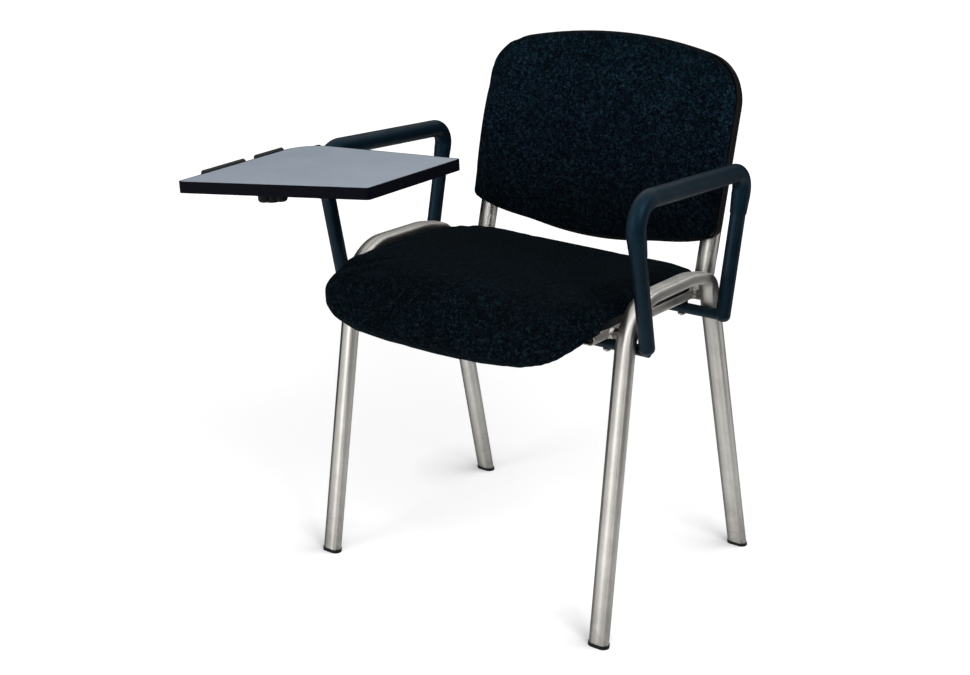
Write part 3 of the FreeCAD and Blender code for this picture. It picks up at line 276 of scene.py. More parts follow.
def make_tweed():
    """Woven crepe in near-black with teal, slate and violet yarns and a few pale flecks.

    Its tone is painted with light and shade by place as the photo shows it: painted shade makes the
    back's foot and the seat's rear darkest, and painted light makes the back's top the lightest and
    bluest."""
    paint = Paint(
        "tweed", Roughness=0.95, Specular_IOR_Level=0.03,
        Sheen_Weight=0.015, Sheen_Roughness=0.5, Sheen_Tint=(0.30, 0.60, 0.80, 1),
    )
    settings = {"Vector": paint.place, "Scale": 240.0, "Detail": 1.0}
    wobble = paint.add("ShaderNodeTexNoise", settings)
    shifted = paint.add("ShaderNodeMix", data_type="VECTOR")
    paint.feed(shifted.inputs[0], 0.0012)
    paint.feed(shifted.inputs[4], paint.place)
    paint.feed(shifted.inputs[5], wobble.outputs["Color"])
    at = shifted.outputs[1]
    yarn = paint.cells(520.0, at)
    patch = paint.cells(235.0, at)
    pick = paint.channels(yarn["Color"])[0]
    wide = paint.channels(patch["Color"])[1]
    yarns = paint.ramp(paint.plus(paint.times(pick, 0.54), paint.times(wide, 0.46)), [
        (0.00, (0.0002, 0.0004, 0.0008)),
        (0.34, (0.0006, 0.0018, 0.0032)),
        (0.50, (0.0014, 0.0058, 0.0086)),
        (0.62, (0.0042, 0.0064, 0.0130)),
        (0.74, (0.0042, 0.0140, 0.0185)),
        (0.90, (0.0120, 0.0250, 0.0320)),
    ])
    blotch = paint.ramp(paint.noise(150.0, 2.0, 0.6), [
        (0.34, (1.25, 0.84, 1.08)),
        (0.50, (1.0, 1.0, 1.0)),
        (0.66, (0.80, 1.22, 0.94)),
    ])
    spot = paint.parts(paint.place)
    # Painted light and shade by height: darker on the seat and at the back's foot, lighter and
    # bluer towards the back's top
    painted_light_by_height = paint.ramp(paint.span(spot["Z"], CLOTH_LOW, CLOTH_HIGH, 0.0, 1.0), [
        (0.00, (0.62, 0.62, 0.66)),
        (0.30, (0.56, 0.54, 0.60)),
        (0.62, (0.96, 0.94, 1.15)),
        (0.95, (1.02, 1.38, 1.50)),
    ])
    yarns = paint.tinted(paint.tinted(yarns, blotch), painted_light_by_height)
    # Painted shade on the seat's upward faces, deeper towards the rear; the cloud is a random tone
    upward = paint.parts(paint.add("ShaderNodeNewGeometry").outputs["Normal"])["Z"]
    painted_seat_shade = paint.times(
        paint.span(upward, 0.2, 0.95, 0.0, 1.0),
        paint.span(spot["Y"], SEAT_LIGHT_Y, SEAT_DARK_Y, 0.18, 0.68),
    )
    cloud = paint.span(paint.noise(14.0, 3.0, 0.55), 0.3, 0.7, 0.80, 1.18)
    cloud_and_seat_shade = paint.times(cloud, paint.minus(1.0, painted_seat_shade))
    toned = paint.add("ShaderNodeVectorMath", {0: yarns, "Scale": cloud_and_seat_shade}, operation="SCALE")
    paint.colour(toned.outputs["Vector"])
    hollow = paint.span(yarn["Distance"], 0.0, 0.75, 1.0, 0.0)
    fibre = paint.noise(2600.0, 2.0, 0.6)
    slub = paint.noise(120.0)
    paint.bump([(slub, 0.35, 0.0012), (hollow, 0.75, 0.0006), (fibre, 0.4, 0.00018)])
    return paint.material


def make_tube_steel():
    """Satin plated tube, polished round its girth, with draw lines, clouding, and painted shade
    that makes its foot darker and duller.
    """
    paint = Paint(
        "satin_tube", Metallic=1.0, Anisotropic=0.85, Specular_Tint=(0.30, 0.30, 0.31, 1),
    )
    spot = paint.parts(paint.place)
    height = spot["Z"]
    off_middle = paint.math("ABSOLUTE", paint.minus(spot["X"], MIDDLE_X))
    rail = paint.math("LESS_THAN", off_middle, RAIL_OUTSIDE)
    leg = paint.minus(1.0, rail)
    level = paint.plus(
        paint.times(rail, paint.span(height, *RAIL_BEND, 1.0, 0.0)),
        paint.times(leg, paint.span(height, *LEG_BEND, 0.0, 1.0)),
    )
    plumb = paint.minus(1.0, level)
    behind = paint.times(leg, paint.math("GREATER_THAN", spot["Y"], LEG_REAR_Y))
    turned = paint.times(level, paint.math("MULTIPLY_ADD", behind, -2.0, 1.0))
    along = paint.add("ShaderNodeCombineXYZ", {"Y": turned, "Z": plumb})
    paint.feed(paint.shader.inputs["Tangent"], along.outputs["Vector"])
    upright = paint.noise(1.0, 3.0, 0.6, paint.stretched((900, 900, 9)))
    lying = paint.noise(1.0, 3.0, 0.6, paint.stretched((900, 9, 900)))
    lines = paint.plus(paint.times(lying, level), paint.times(upright, plumb))
    cloud = paint.noise(26.0, 4.0, 0.55)
    tone = paint.plus(paint.times(lines, 0.45), paint.times(cloud, 0.55))
    steel = paint.ramp(tone, [
        (0.30, (0.480, 0.465, 0.435)),
        (0.50, (0.600, 0.582, 0.550)),
        (0.70, (0.690, 0.672, 0.640)),
    ])
    # Painted shade: the steel darkens in mottled patches towards the floor, and is rougher there
    scuffs_and_foot_shade = paint.span(height, 0.0, TUBE_SHADE_TOP, 1.0, 0.0)
    foot_shade_mottle = paint.span(paint.noise(60.0, 5.0, 0.65), 0.35, 0.7, 0.25, 0.8)
    painted_foot_shade = paint.math("MULTIPLY", scuffs_and_foot_shade, foot_shade_mottle, clamp=True)
    paint.colour(paint.blend(painted_foot_shade, steel, (0.24, 0.23, 0.215)))
    paint.rough(paint.plus(paint.span(tone, 0.3, 0.7, 0.38, 0.46), paint.times(painted_foot_shade, 0.12)))
    centre = paint.plus(
        paint.times(rail, RAIL_SPACING / 2),
        paint.times(leg, paint.span(height, 0.0, LEG_TOP_Z, LEG_FOOT_OUT, LEG_TOP_OUT)),
    )
    aside = paint.minus(off_middle, centre)
    crown = paint.times(paint.times(aside, aside), -1.0 / TUBE_HALF_WIDE ** 2)
    paint.bump([
        (crown, 1.0, TUBE_CROWN),
        (lines, 0.16, 0.00008),
        (paint.noise(420.0, 3.0, 0.6), 0.10, 0.00006),
    ])
    return paint.material


def make_arm_tube():
    """Satin dark paint over steel, with a faint orange-peel surface."""
    paint = Paint("arm_paint", Specular_IOR_Level=0.22, Specular_Tint=(0.35, 0.72, 1.0, 1))
    cloud = paint.noise(45.0, 3.0, 0.55)
    paint.colour(paint.ramp(cloud, [
        (0.30, (0.0022, 0.0055, 0.0095)),
        (0.70, (0.0042, 0.0090, 0.0145)),
    ]))
    paint.rough(paint.span(cloud, 0.3, 0.7, 0.34, 0.44))
    peel = paint.cells(700.0)["Distance"]
    paint.bump([(peel, 0.12, 0.00010), (paint.noise(160.0), 0.10, 0.00025)])
    return paint.material


def make_arm_skin():
    """Soft moulded skin of the armrests: fine leathery grain, a little polished on top."""
    paint = Paint("arm_skin_grain", Specular_IOR_Level=0.22, Specular_Tint=(0.25, 0.68, 1.0, 1))
    cloud = paint.noise(22.0, 4.0, 0.6)
    grain = paint.cells(950.0, feature="SMOOTH_F1")["Distance"]
    pores = paint.span(grain, 0.1, 0.8, 1.0, 0.0)
    tone = paint.ramp(cloud, [
        (0.28, (0.0018, 0.0062, 0.0116)),
        (0.72, (0.0040, 0.0105, 0.0178)),
    ])
    paint.colour(paint.blend(paint.times(pores, 0.35), tone, (0.0012, 0.0026, 0.0048)))
    height = paint.parts(paint.place)["Z"]
    worn = paint.times(paint.span(height, *ARM_TOP, 0.0, 1.0), cloud)
    paint.rough(paint.minus(paint.span(cloud, 0.3, 0.7, 0.50, 0.42), paint.times(worn, 0.12)))
    fine = paint.noise(2400.0)
    paint.bump([(pores, 0.30, 0.00016), (fine, 0.15, 0.00005), (cloud, 0.05, 0.0008)])
    return paint.material


def make_moulded():
    """Black moulded plastic with a spark-eroded texture."""
    paint = Paint("moulded_texture", Specular_IOR_Level=0.14)
    cloud = paint.noise(34.0, 3.0, 0.5)
    paint.colour(paint.ramp(cloud, [
        (0.3, (0.0030, 0.0034, 0.0042)),
        (0.7, (0.0062, 0.0068, 0.0080)),
    ]))
    paint.rough(paint.span(paint.noise(300.0, 3.0, 0.6), 0.3, 0.7, 0.48, 0.62))
    texture = paint.noise(1500.0, 3.0, 0.7)
    paint.bump([(texture, 0.35, 0.00012), (cloud, 0.04, 0.001)], edge=0.0006)
    return paint.material


def make_hinge_metal():
    """Black powder-coated steel of the hinges, bar and clamp."""
    paint = Paint("powder_coat", Specular_IOR_Level=0.2)
    cloud = paint.noise(70.0, 3.0, 0.55)
    paint.colour(paint.ramp(cloud, [
        (0.3, (0.0030, 0.0034, 0.0044)),
        (0.7, (0.0065, 0.0070, 0.0085)),
    ]))
    paint.rough(paint.span(cloud, 0.3, 0.7, 0.36, 0.46))
    speck = paint.cells(1300.0)["Distance"]
    paint.bump([(speck, 0.22, 0.00010), (paint.noise(260.0), 0.12, 0.0002)], edge=0.0004)
    return paint.material


def make_fastener():
    """Zinc-plated screws with turned tool marks."""
    paint = Paint("zinc_plate", Metallic=1.0)
    cloud = paint.noise(420.0, 3.0, 0.6)
    paint.colour(paint.ramp(cloud, [
        (0.3, (0.300, 0.305, 0.320)),
        (0.7, (0.480, 0.480, 0.470)),
    ]))
    paint.rough(paint.span(cloud, 0.3, 0.7, 0.28, 0.42))
    paint.bump([(paint.noise(3000.0), 0.2, 0.00005)], edge=0.0003)
    return paint.material


def make_rubber():
    """Dull rubber of the tip that carries the tablet."""
    paint = Paint("rubber_tip", Specular_IOR_Level=0.3)
    cloud = paint.noise(240.0, 3.0, 0.6)
    paint.colour(paint.ramp(cloud, [
        (0.3, (0.0080, 0.0078, 0.0075)),
        (0.7, (0.0160, 0.0155, 0.0150)),
    ]))
    paint.rough(paint.span(cloud, 0.3, 0.7, 0.72, 0.88))
    paint.bump([(paint.noise(1800.0, 3.0, 0.6), 0.3, 0.0001)], edge=0.0005)
    return paint.material


def make_plywood():
    """Beech plywood: long flecked grain on the faces, with layered edges sealed in black.

    The backrest's faces lean and the seat's lie flat, so each is told from its edges by itself."""
    paint = Paint("beech_ply", Specular_IOR_Level=0.3)
    grain = paint.noise(1.0, 4.0, 0.6, paint.stretched((420, 14, 420)))
    rings = paint.noise(1.0, 2.0, 0.5, paint.stretched((24, 3, 24)))
    face = paint.ramp(paint.plus(paint.times(grain, 0.5), paint.times(rings, 0.5)), [
        (0.30, (0.300, 0.170, 0.080)),
        (0.52, (0.460, 0.300, 0.160)),
        (0.74, (0.560, 0.390, 0.220)),
    ])
    height = paint.parts(paint.place)["Z"]
    layer = paint.math("FRACT", paint.times(height, PLY_LAYERS))
    dark = paint.math("GREATER_THAN", layer, 0.5)
    wood = paint.blend(paint.times(dark, 0.22), face, (0.250, 0.140, 0.070))
    facing = paint.add("ShaderNodeNewGeometry").outputs["Normal"]
    lying = paint.math("ABSOLUTE", paint.parts(facing)["Z"])
    settings = {0: facing, 1: tuple(BACK_OUT)}
    dot = paint.add("ShaderNodeVectorMath", settings, operation="DOT_PRODUCT")
    leaning = paint.math("ABSOLUTE", dot.outputs["Value"])
    on_back = paint.math("GREATER_THAN", height, BACK_FROM_Z)
    square = paint.math("MULTIPLY_ADD", on_back, paint.minus(leaning, lying), lying)
    sealed = paint.span(square, 0.60, 0.80, 1.0, 0.0)
    paint.colour(paint.blend(sealed, wood, (0.0020, 0.0040, 0.0060)))
    paint.rough(paint.span(grain, 0.3, 0.7, 0.55, 0.72))
    paint.bump([(grain, 0.3, 0.0002)], edge=0.0004)
    return paint.material


def make_laminate():
    """Cool grey writing surface: fine speckle, light cloud and a faint pebble."""
    paint = Paint("laminate_speckle", Specular_IOR_Level=0.25)
    base = paint.ramp(paint.noise(9.0, 4.0, 0.55), [
        (0.30, (0.335, 0.388, 0.462)),
        (0.70, (0.392, 0.446, 0.518)),
    ])
    flecks = paint.ramp(paint.channels(paint.cells(1500.0)["Color"])[0], [
        (0.00, (0.212, 0.250, 0.310)),
        (0.14, (0.353, 0.406, 0.474)),
        (0.80, (0.378, 0.430, 0.500)),
        (0.96, (0.540, 0.600, 0.660)),
    ])
    paint.colour(paint.blend(0.35, base, flecks))
    rub = paint.noise(1.0, 3.0, 0.6, paint.stretched((30, 160, 30), (0, 0, 0.4)))
    paint.rough(paint.span(rub, 0.3, 0.7, 0.36, 0.48))
    pebble = paint.cells(900.0, feature="SMOOTH_F1")["Distance"]
    paint.bump([(pebble, 0.12, 0.00012), (paint.noise(2200.0), 0.08, 0.00005)], edge=0.0005)
    return paint.material


def make_edge_band():
    """Black plastic lipping round the tablet, a little scuffed."""
    paint = Paint("edge_lipping", Specular_IOR_Level=0.03)
    scuffs_and_foot_shade = paint.noise(1.0, 4.0, 0.65, paint.stretched((60, 60, 500)))
    paint.colour(paint.ramp(scuffs_and_foot_shade, [
        (0.35, (0.0014, 0.0016, 0.0040)),
        (0.65, (0.0034, 0.0038, 0.0070)),
        (0.80, (0.0095, 0.0100, 0.0140)),
    ]))
    paint.rough(paint.span(scuffs_and_foot_shade, 0.3, 0.8, 0.36, 0.56))
    paint.bump([(scuffs_and_foot_shade, 0.10, 0.0002), (paint.noise(1600.0), 0.12, 0.00006)], edge=0.0008)
    return paint.material


def make_socket():
    """Painted shade for the inside of a hexagon socket, whose recess is drawn shallow."""
    paint = Paint("socket_shade", Metallic=0.6)
    cloud = paint.noise(900.0)
    paint.colour(paint.ramp(cloud, [(0.3, (0.010, 0.010, 0.011)), (0.7, (0.030, 0.030, 0.032))]))
    paint.rough(paint.span(cloud, 0.3, 0.7, 0.5, 0.7))
    return paint.material


def make_weld():
    """Weld bead under the plating: rippled and a little darker than the tube."""
    paint = Paint("weld_plate", Metallic=1.0)
    cloud = paint.noise(500.0, 3.0, 0.6)
    paint.colour(paint.ramp(cloud, [(0.3, (0.330, 0.315, 0.295)), (0.7, (0.560, 0.545, 0.515))]))
    paint.rough(paint.span(cloud, 0.3, 0.7, 0.32, 0.46))
    paint.bump([(paint.noise(1400.0), 0.35, 0.0002)])
    return paint.material


MATERIALS = {
    "frame_tube": make_tube_steel(),
    "arm_tube": make_arm_tube(),
    "hinge_metal": make_hinge_metal(),
    "fastener": make_fastener(),
    "arm_skin": make_arm_skin(),
    "moulded_black": make_moulded(),
    "rubber": make_rubber(),
    "plywood": make_plywood(),
    "upholstery": make_tweed(),
    "tablet_laminate": make_laminate(),
    "tablet_edge": make_edge_band(),
}
SOCKET_SHADE = make_socket()
WELD = make_weld()


def dress_nodes():
    """Give each carried-over solid the material of its slot."""
    for part in frame["record"]["subparts"]:
        item = NODES[part["node"]]
        item.data.materials.clear()
        item.data.materials.append(MATERIALS[part["material_slot"]])


# Helpers for meshes

def linked(name, data):
    """A new object in the scene."""
    item = bpy.data.objects.new(name, data)
    SCENE.collection.objects.link(item)
    return item


def applied(item):
    """The item's mesh with its modifiers, as a new mesh."""
    bpy.context.view_layer.update()
    shown = item.evaluated_get(bpy.context.evaluated_depsgraph_get())
    return bpy.data.meshes.new_from_object(shown)


def rows_of(mesh, what):
    """Each vertex's vector: its place is "co", and its normal is "normal"."""
    found = np.empty(len(mesh.vertices) * 3)
    mesh.vertices.foreach_get(what, found)
    return found.reshape(-1, 3)


def set_points(mesh, points):
    mesh.vertices.foreach_set("co", np.ascontiguousarray(points, dtype=float).ravel())
    mesh.update()


def eased(values, start, end):
    """0 before start, 1 after end, smooth between; start may be the larger."""
    share = np.clip((values - start) / (end - start), 0, 1)
    return share * share * (3 - 2 * share)


def hump(values, middle, width):
    """1 at the middle, falling off smoothly to both sides."""
    return np.exp(-((values - middle) / width) ** 2)


# Cushions and back shell

def lower_corners(mesh):
    """Draw the two lower corners of the backrest down in its own plane, as in the photo."""
    points = rows_of(mesh, "co")
    beside = eased(np.abs(points[:, 0] - MIDDLE_X), *BACK_CORNER_SIDE)
    below = eased(points[:, 2], *BACK_CORNER_Z)
    points -= BACK_UP * (BACK_CORNER_DROP * beside * below)[:, None]
    set_points(mesh, points)


def fill_seat(points, normals):
    """Fuller front corners and rear top edge of the seat, mostly on the tablet's side."""
    side = points[:, 0] - MIDDLE_X
    near = hump(side, *SEAT_RIGHT_CORNER) + SEAT_LEFT_SHARE * hump(side, *SEAT_LEFT_CORNER)
    ahead = eased(points[:, 1], *SEAT_CORNER_Y)
    points = points + normals * (SEAT_CORNER_FILL * ahead * near)[:, None]
    behind = eased(points[:, 1], *SEAT_REAR_Y) * eased(normals[:, 2], 0.0, 0.6)
    across = SEAT_REAR_LEAST + (1 - SEAT_REAR_LEAST) * eased(side, *SEAT_REAR_SIDE)
    points[:, 2] += SEAT_REAR_LIFT * behind * across
    return points


def even_mesh(node, name, before):
    """The node's solid as an object with an even, slightly rounded mesh."""
    mesh = NODES[node].data.copy()
    if before:
        before(mesh)
    work = bmesh.new()
    work.from_mesh(mesh)
    bmesh.ops.remove_doubles(work, verts=work.verts, dist=MERGE_WITHIN)
    work.to_mesh(mesh)
    work.free()
    mesh.name = name
    item = linked(name, mesh)
    remesh = item.modifiers.new("even", "REMESH")
    remesh.mode = "VOXEL"
    remesh.voxel_size = CUSHION_VOXEL
    smooth = item.modifiers.new("smooth", "SMOOTH")
    smooth.factor = 0.5
    smooth.iterations = SMOOTH_ROUNDS
    even = applied(item)
    item.modifiers.clear()
    item.data = even
    even.name = name
    return item


def swell(item, start, base):
    """Blow the cloth up by pressure, with its base pinned, and cap how far each point goes."""
    pins = item.vertex_groups.new(name="base")
    for index in np.nonzero(base > 0)[0]:
        pins.add([int(index)], float(base[index]), "REPLACE")
    cloth = item.modifiers.new("cloth", "CLOTH")
    for name, value in CLOTH.items():
        setattr(cloth.settings, name, value)
    cloth.settings.effector_weights.gravity = 0
    cloth.collision_settings.use_collision = False
    cloth.collision_settings.use_self_collision = False
    SCENE.frame_start = 1
    SCENE.frame_end = SWELL_FRAMES
    for step in range(1, SWELL_FRAMES + 1):
        SCENE.frame_set(step)
    swollen = applied(item)
    moved = rows_of(swollen, "co") - start
    item.modifiers.clear()
    item.vertex_groups.clear()
    bpy.data.meshes.remove(swollen)
    SCENE.frame_set(1)
    length = np.linalg.norm(moved, axis=1)
    scale = SWELL_CAP * np.tanh(length / SWELL_CAP) / np.maximum(length, 1e-9)
    set_points(item.data, start + moved * (scale * (1 - base))[:, None])


def cushion(node, name, down, before=None, after=None):
    """Foam pad under cloth: remeshed from its solid, swollen by pressure and capped.

    down is the way its base faces; the base stays where it rests. before changes the solid's copy,
    and after gives new points from the swollen ones and their normals."""
    item = even_mesh(node, name, before)
    mesh = item.data
    normals = rows_of(mesh, "normal")
    base = np.clip((normals @ np.array(down) - BASE_FROM) / BASE_OVER, 0, 1)
    start = rows_of(mesh, "co") - normals * (CUSHION_INSET * (1 - base))[:, None]
    set_points(mesh, start)
    swell(item, start, base)
    if after:
        set_points(mesh, after(rows_of(mesh, "co"), rows_of(mesh, "normal")))
    mesh.polygons.foreach_set("use_smooth", [True] * len(mesh.polygons))
    mesh.materials.clear()
    mesh.materials.append(MATERIALS["upholstery"])
    finer = item.modifiers.new("finer", "SUBSURF")
    finer.levels = finer.render_levels = 1
    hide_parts(node)
    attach(item, "chair")


def add_shell():
    """Moulded back shell with the same lower corners as the pad in front of it."""
    mesh = NODES["back_shell"].data.copy()
    lower_corners(mesh)
    item = linked("back_shell_moulding", mesh)
    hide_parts("back_shell")
    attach(item, "chair")


# Welds and sockets

def mesh_item(name, points, faces, materials, shares=None, smooth=True):
    """Object from points and faces; shares is each face's material by number."""
    mesh = bpy.data.meshes.new(name)
    mesh.from_pydata([tuple(p) for p in points], [], faces)
    mesh.update()
    for material in materials:
        mesh.materials.append(material)
    if shares:
        mesh.polygons.foreach_set("material_index", shares)
    mesh.polygons.foreach_set("use_smooth", [smooth] * len(mesh.polygons))
    return linked(name, mesh)


def add_bead(path, points, faces):
    """Add a closed rippled bead along a closed path."""
    first = len(points)
    count = len(path)
    middle = sum(path, Vector()) / count
    for index, place in enumerate(path):
        ahead = (path[(index + 1) % count] - path[index - 1]).normalized()
        out = (place - middle).normalized()
        out = (out - ahead * out.dot(ahead)).normalized()
        side = ahead.cross(out)
        ripple = sum(depth * math.sin(index * pace) for depth, pace in WELD_RIPPLES)
        size = WELD_BEAD * (1 + ripple)
        for step in range(BEAD_SIDES):
            turn = 2 * math.pi * step / BEAD_SIDES
            points.append(place + out * (size * math.cos(turn)) + side * (size * math.sin(turn)))
    for index in range(count):
        here = first + index * BEAD_SIDES
        there = first + ((index + 1) % count) * BEAD_SIDES
        for step in range(BEAD_SIDES):
            after = (step + 1) % BEAD_SIDES
            faces.append((here + step, there + step, there + after, here + after))


def add_welds():
    """Beads where the cross tubes and the leg stubs meet the seat rails."""
    points, faces = [], []
    flat = TUBE_HALF_WIDE - TUBE_HALF_DEEP
    for y in CROSS_PLACES:
        for side in (1, -1):
            for inward in (1, -1):
                path = []
                for step in range(WELD_STEPS):
                    turn = 2 * math.pi * step / WELD_STEPS
                    rise = CROSS_RADIUS * math.sin(turn)
                    reach = flat + math.sqrt(TUBE_HALF_DEEP ** 2 - rise * rise)
                    x = MIDDLE_X + side * (RAIL_SPACING / 2 - inward * reach)
                    path.append(Vector((x, y + CROSS_RADIUS * math.cos(turn), RAIL_Z + rise)))
                add_bead(path, points, faces)
    item = mesh_item("weld_beads", points, faces, [WELD])
    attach(item, "chair")


def head_places(node, out):
    """Middle of each screw head's flat in a group of screws that face the same way."""
    points = rows_of(NODES[node].data, "co")
    high = points @ np.array(out)
    groups = []
    for place in (Vector(row) for row in points[high > high.max() - HEAD_FLAT]):
        for group in groups:
            if (group[0] - place).length < HEAD_APART:
                group.append(place)
                break
        else:
            groups.append([place])
    return [sum(group, Vector()) / len(group) for group in groups]


def add_sockets(name, node, way, head):
    """Hexagon sockets with a rolled rim on a node's bolt heads, which face the given way."""
    out = Vector(way).normalized()
    across = out.orthogonal().normalized()
    up = out.cross(across)
    points, faces, shares = [], [], []
    for place in head_places(node, way):
        first = len(points)
        for share, height, hexed in SOCKET_RINGS:
            radius = head * share
            for step in range(SOCKET_STEPS):
                turn = 2 * math.pi * step / SOCKET_STEPS
                size = radius
                if hexed:
                    flat_turn = (turn % (math.pi / 3)) - math.pi / 6
                    size = radius * math.cos(math.pi / 6) / math.cos(flat_turn)
                points.append(place + across * (size * math.cos(turn))
                              + up * (size * math.sin(turn)) + out * height)
        for level in range(len(SOCKET_RINGS) - 1):
            low = first + level * SOCKET_STEPS
            for step in range(SOCKET_STEPS):
                after = (step + 1) % SOCKET_STEPS
                faces.append((low + step, low + after,
                              low + SOCKET_STEPS + after, low + SOCKET_STEPS + step))
                shares.append(0)
        # The socket's floor is coloured with painted shade in place of a deep recess
        inner = first + (len(SOCKET_RINGS) - 1) * SOCKET_STEPS
        faces.append(tuple(range(inner, inner + SOCKET_STEPS)))
        shares.append(1)
    materials = [MATERIALS["fastener"], SOCKET_SHADE]
    item = mesh_item(name, points, faces, materials, shares, smooth=False)
    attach(item, "chair")


# Stage, lamps and camera

def toward(azimuth, elevation):
    """Unit vector from the object toward a place in the studio."""
    a, e = math.radians(azimuth), math.radians(elevation)
    return Vector((math.sin(a) * math.cos(e), -math.cos(a) * math.cos(e), math.sin(e)))


def aim(item, way):
    """Turn a lamp or camera to look along a vector."""
    item.rotation_mode = "QUATERNION"
    item.rotation_quaternion = way.to_track_quat("-Z", "Y")


def math_node(tree, operation, *values):
    """Output of a Math node fed by sockets and numbers."""
    node = tree.nodes.new("ShaderNodeMath")
    node.operation = operation
    for socket, value in zip(node.inputs, values):
        if isinstance(value, bpy.types.NodeSocket):
            tree.links.new(value, socket)
        else:
            socket.default_value = value
    return node.outputs[0]


def range_node(tree, value, settings, kind="LINEAR"):
    """Output of a Map Range node with its ends given by name."""
    node = tree.nodes.new("ShaderNodeMapRange")
    node.interpolation_type = kind
    for name, number in settings.items():
        node.inputs[name].default_value = number
    tree.links.new(value, node.inputs["Value"])
    return node.outputs["Result"]


def seen_share(tree, camera, glossy, clear):
    """Strength by what sees the surface: the camera, a reflection, or something through glass."""
    path = tree.nodes.new("ShaderNodeLightPath").outputs
    total = 0.0
    for name, strength in (
        ("Is Camera Ray", camera), ("Is Glossy Ray", glossy), ("Is Transmission Ray", clear),
    ):
        total = math_node(tree, "MULTIPLY_ADD", path[name], strength, total)
    return total


def add_stage():
    """Pale floor that is white to the camera and in reflections and still takes shadows.

    Its glow dims beside the feet, on the side away from FOOT_SHADE_TOWARD, as in the photo."""
    h = FLOOR_HALF
    mesh = bpy.data.meshes.new("floor")
    mesh.from_pydata([(-h, -h, 0), (h, -h, 0), (h, h, 0), (-h, h, 0)], [], [(0, 1, 2, 3)])
    floor = linked("floor", mesh)
    material = bpy.data.materials.new("floor_pale")
    material.use_nodes = True
    tree = material.node_tree
    tree.nodes.clear()
    out = tree.nodes.new("ShaderNodeOutputMaterial")
    matt = tree.nodes.new("ShaderNodeBsdfDiffuse")
    matt.inputs["Color"].default_value = (FLOOR_GREY, FLOOR_GREY, FLOOR_GREY, 1)
    glow = tree.nodes.new("ShaderNodeEmission")
    both = tree.nodes.new("ShaderNodeAddShader")
    place = tree.nodes.new("ShaderNodeNewGeometry")
    distance = tree.nodes.new("ShaderNodeVectorMath")
    distance.operation = "LENGTH"
    tree.links.new(place.outputs["Position"], distance.inputs[0])
    away = range_node(tree, distance.outputs["Value"], FLOOR_GLOW, "SMOOTHSTEP")
    side = tree.nodes.new("ShaderNodeCombineXYZ")
    for name, value in FOOT_SHADE_TOWARD.items():
        side.inputs[name].default_value = value
    # Painted shadow: ambient occlusion round FOOT_SHADE_TOWARD dims the floor's glow beside the
    # feet
    touch = tree.nodes.new("ShaderNodeAmbientOcclusion")
    touch.samples = FOOT_SHADE_SAMPLES
    touch.inputs["Distance"].default_value = FOOT_SHADE_REACH
    tree.links.new(side.outputs["Vector"], touch.inputs["Normal"])
    white = math_node(tree, "MULTIPLY", away, range_node(tree, touch.outputs["AO"], FOOT_SHADE))
    tree.links.new(seen_share(tree, white, FLOOR_GLOSSY, white), glow.inputs["Strength"])
    tree.links.new(matt.outputs[0], both.inputs[0])
    tree.links.new(glow.outputs[0], both.inputs[1])
    tree.links.new(both.outputs[0], out.inputs["Surface"])
    mesh.materials.append(material)


def add_flags():
    """Dark studio boards that only reflections see, so that bare metal has dark edges.

    FLAG_SPANS holds the middle and half of the angle that each takes, round the object."""
    material = bpy.data.materials.new("flag_dark")
    material.use_nodes = True
    shader = material.node_tree.nodes["Principled BSDF"]
    shader.inputs["Base Color"].default_value = (FLAG_GREY, FLAG_GREY, FLAG_GREY, 1)
    shader.inputs["Roughness"].default_value = 1.0
    points, faces = [], []
    for azimuth, half in FLAG_SPANS:
        for low, high in ((azimuth - half, azimuth), (azimuth, azimuth + half)):
            first = len(points)
            for turn in (low, high):
                x, y, _ = toward(turn, 0) * FLAG_REACH
                points += [(x, y, FLAG_LOW), (x, y, FLAG_HEIGHT)]
            faces.append((first, first + 2, first + 3, first + 1))
    flags = mesh_item("flags", points, faces, [material], smooth=False)
    flags.visible_camera = False
    flags.visible_diffuse = False
    flags.visible_transmission = False
    flags.visible_shadow = False


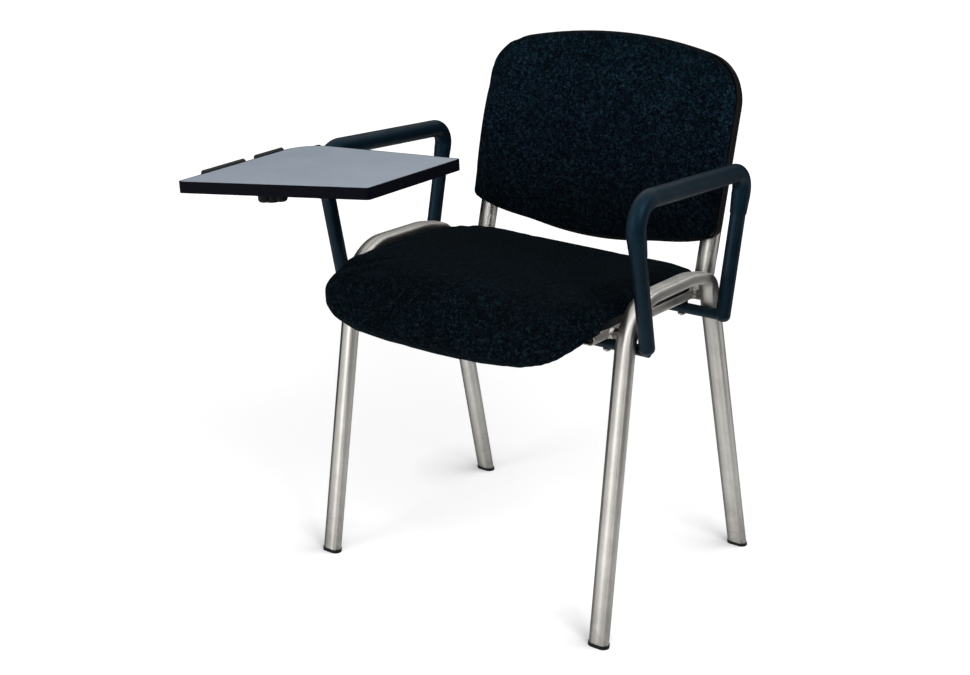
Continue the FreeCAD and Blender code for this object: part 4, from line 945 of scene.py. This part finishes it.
def add_world():
    """Even grey light; white where the camera, a reflection or glass sees it."""
    world = bpy.data.worlds.new("studio")
    SCENE.world = world
    world.use_nodes = True
    tree = world.node_tree
    tree.nodes.clear()
    out = tree.nodes.new("ShaderNodeOutputWorld")
    light = tree.nodes.new("ShaderNodeBackground")
    light.inputs["Color"].default_value = (1, 1, 1, 1)
    seen = seen_share(tree, WORLD_SEEN, WORLD_SEEN, WORLD_SEEN)
    tree.links.new(math_node(tree, "ADD", seen, WORLD_LIGHT), light.inputs["Strength"])
    tree.links.new(light.outputs[0], out.inputs["Surface"])


def add_lamp(name, azimuth, elevation, distance, wide, tall, power):
    """Soft box aimed at the object; azimuth turns as the camera's does."""
    data = bpy.data.lights.new(name, "AREA")
    data.shape = "RECTANGLE"
    data.size = wide
    data.size_y = tall
    data.energy = power
    lamp = linked(name, data)
    way = toward(azimuth, elevation)
    lamp.location = LAMP_TARGET + way * distance
    aim(lamp, -way)


def add_camera():
    """Camera at the photograph's place and angle."""
    data = bpy.data.cameras.new("photo_camera")
    data.lens = CAMERA_LENS
    data.sensor_width = CAMERA_SENSOR
    data.clip_start, data.clip_end = CAMERA_CLIP
    camera = linked("photo_camera", data)
    camera.location = CAMERA_PLACE
    aim(camera, -toward(CAMERA_AZIMUTH, CAMERA_ELEVATION))
    SCENE.camera = camera


SCENE.view_settings.view_transform = "Standard"
add_camera()
add_world()
add_stage()
add_flags()
for lamp_row in LAMPS:
    add_lamp(*lamp_row)
dress_nodes()
cushion("seat_pad", "seat_cushion", (0, 0, -1), after=fill_seat)
cushion("back_pad", "back_cushion", tuple(BACK_OUT), before=lower_corners)
add_shell()
add_welds()
add_sockets("seat_bolt_sockets", "seat_bolts", (0, 0, -1), BOLT_HEAD)
add_sockets("arm_bolt_sockets", "arm_bolts", (0, 0, -1), BOLT_HEAD)
add_sockets("back_screw_sockets", "back_screws", tuple(BACK_OUT), BOLT_HEAD)
add_sockets("clamp_screw_sockets", "clamp_screws", (1, 0, 0), CLAMP_HEAD)
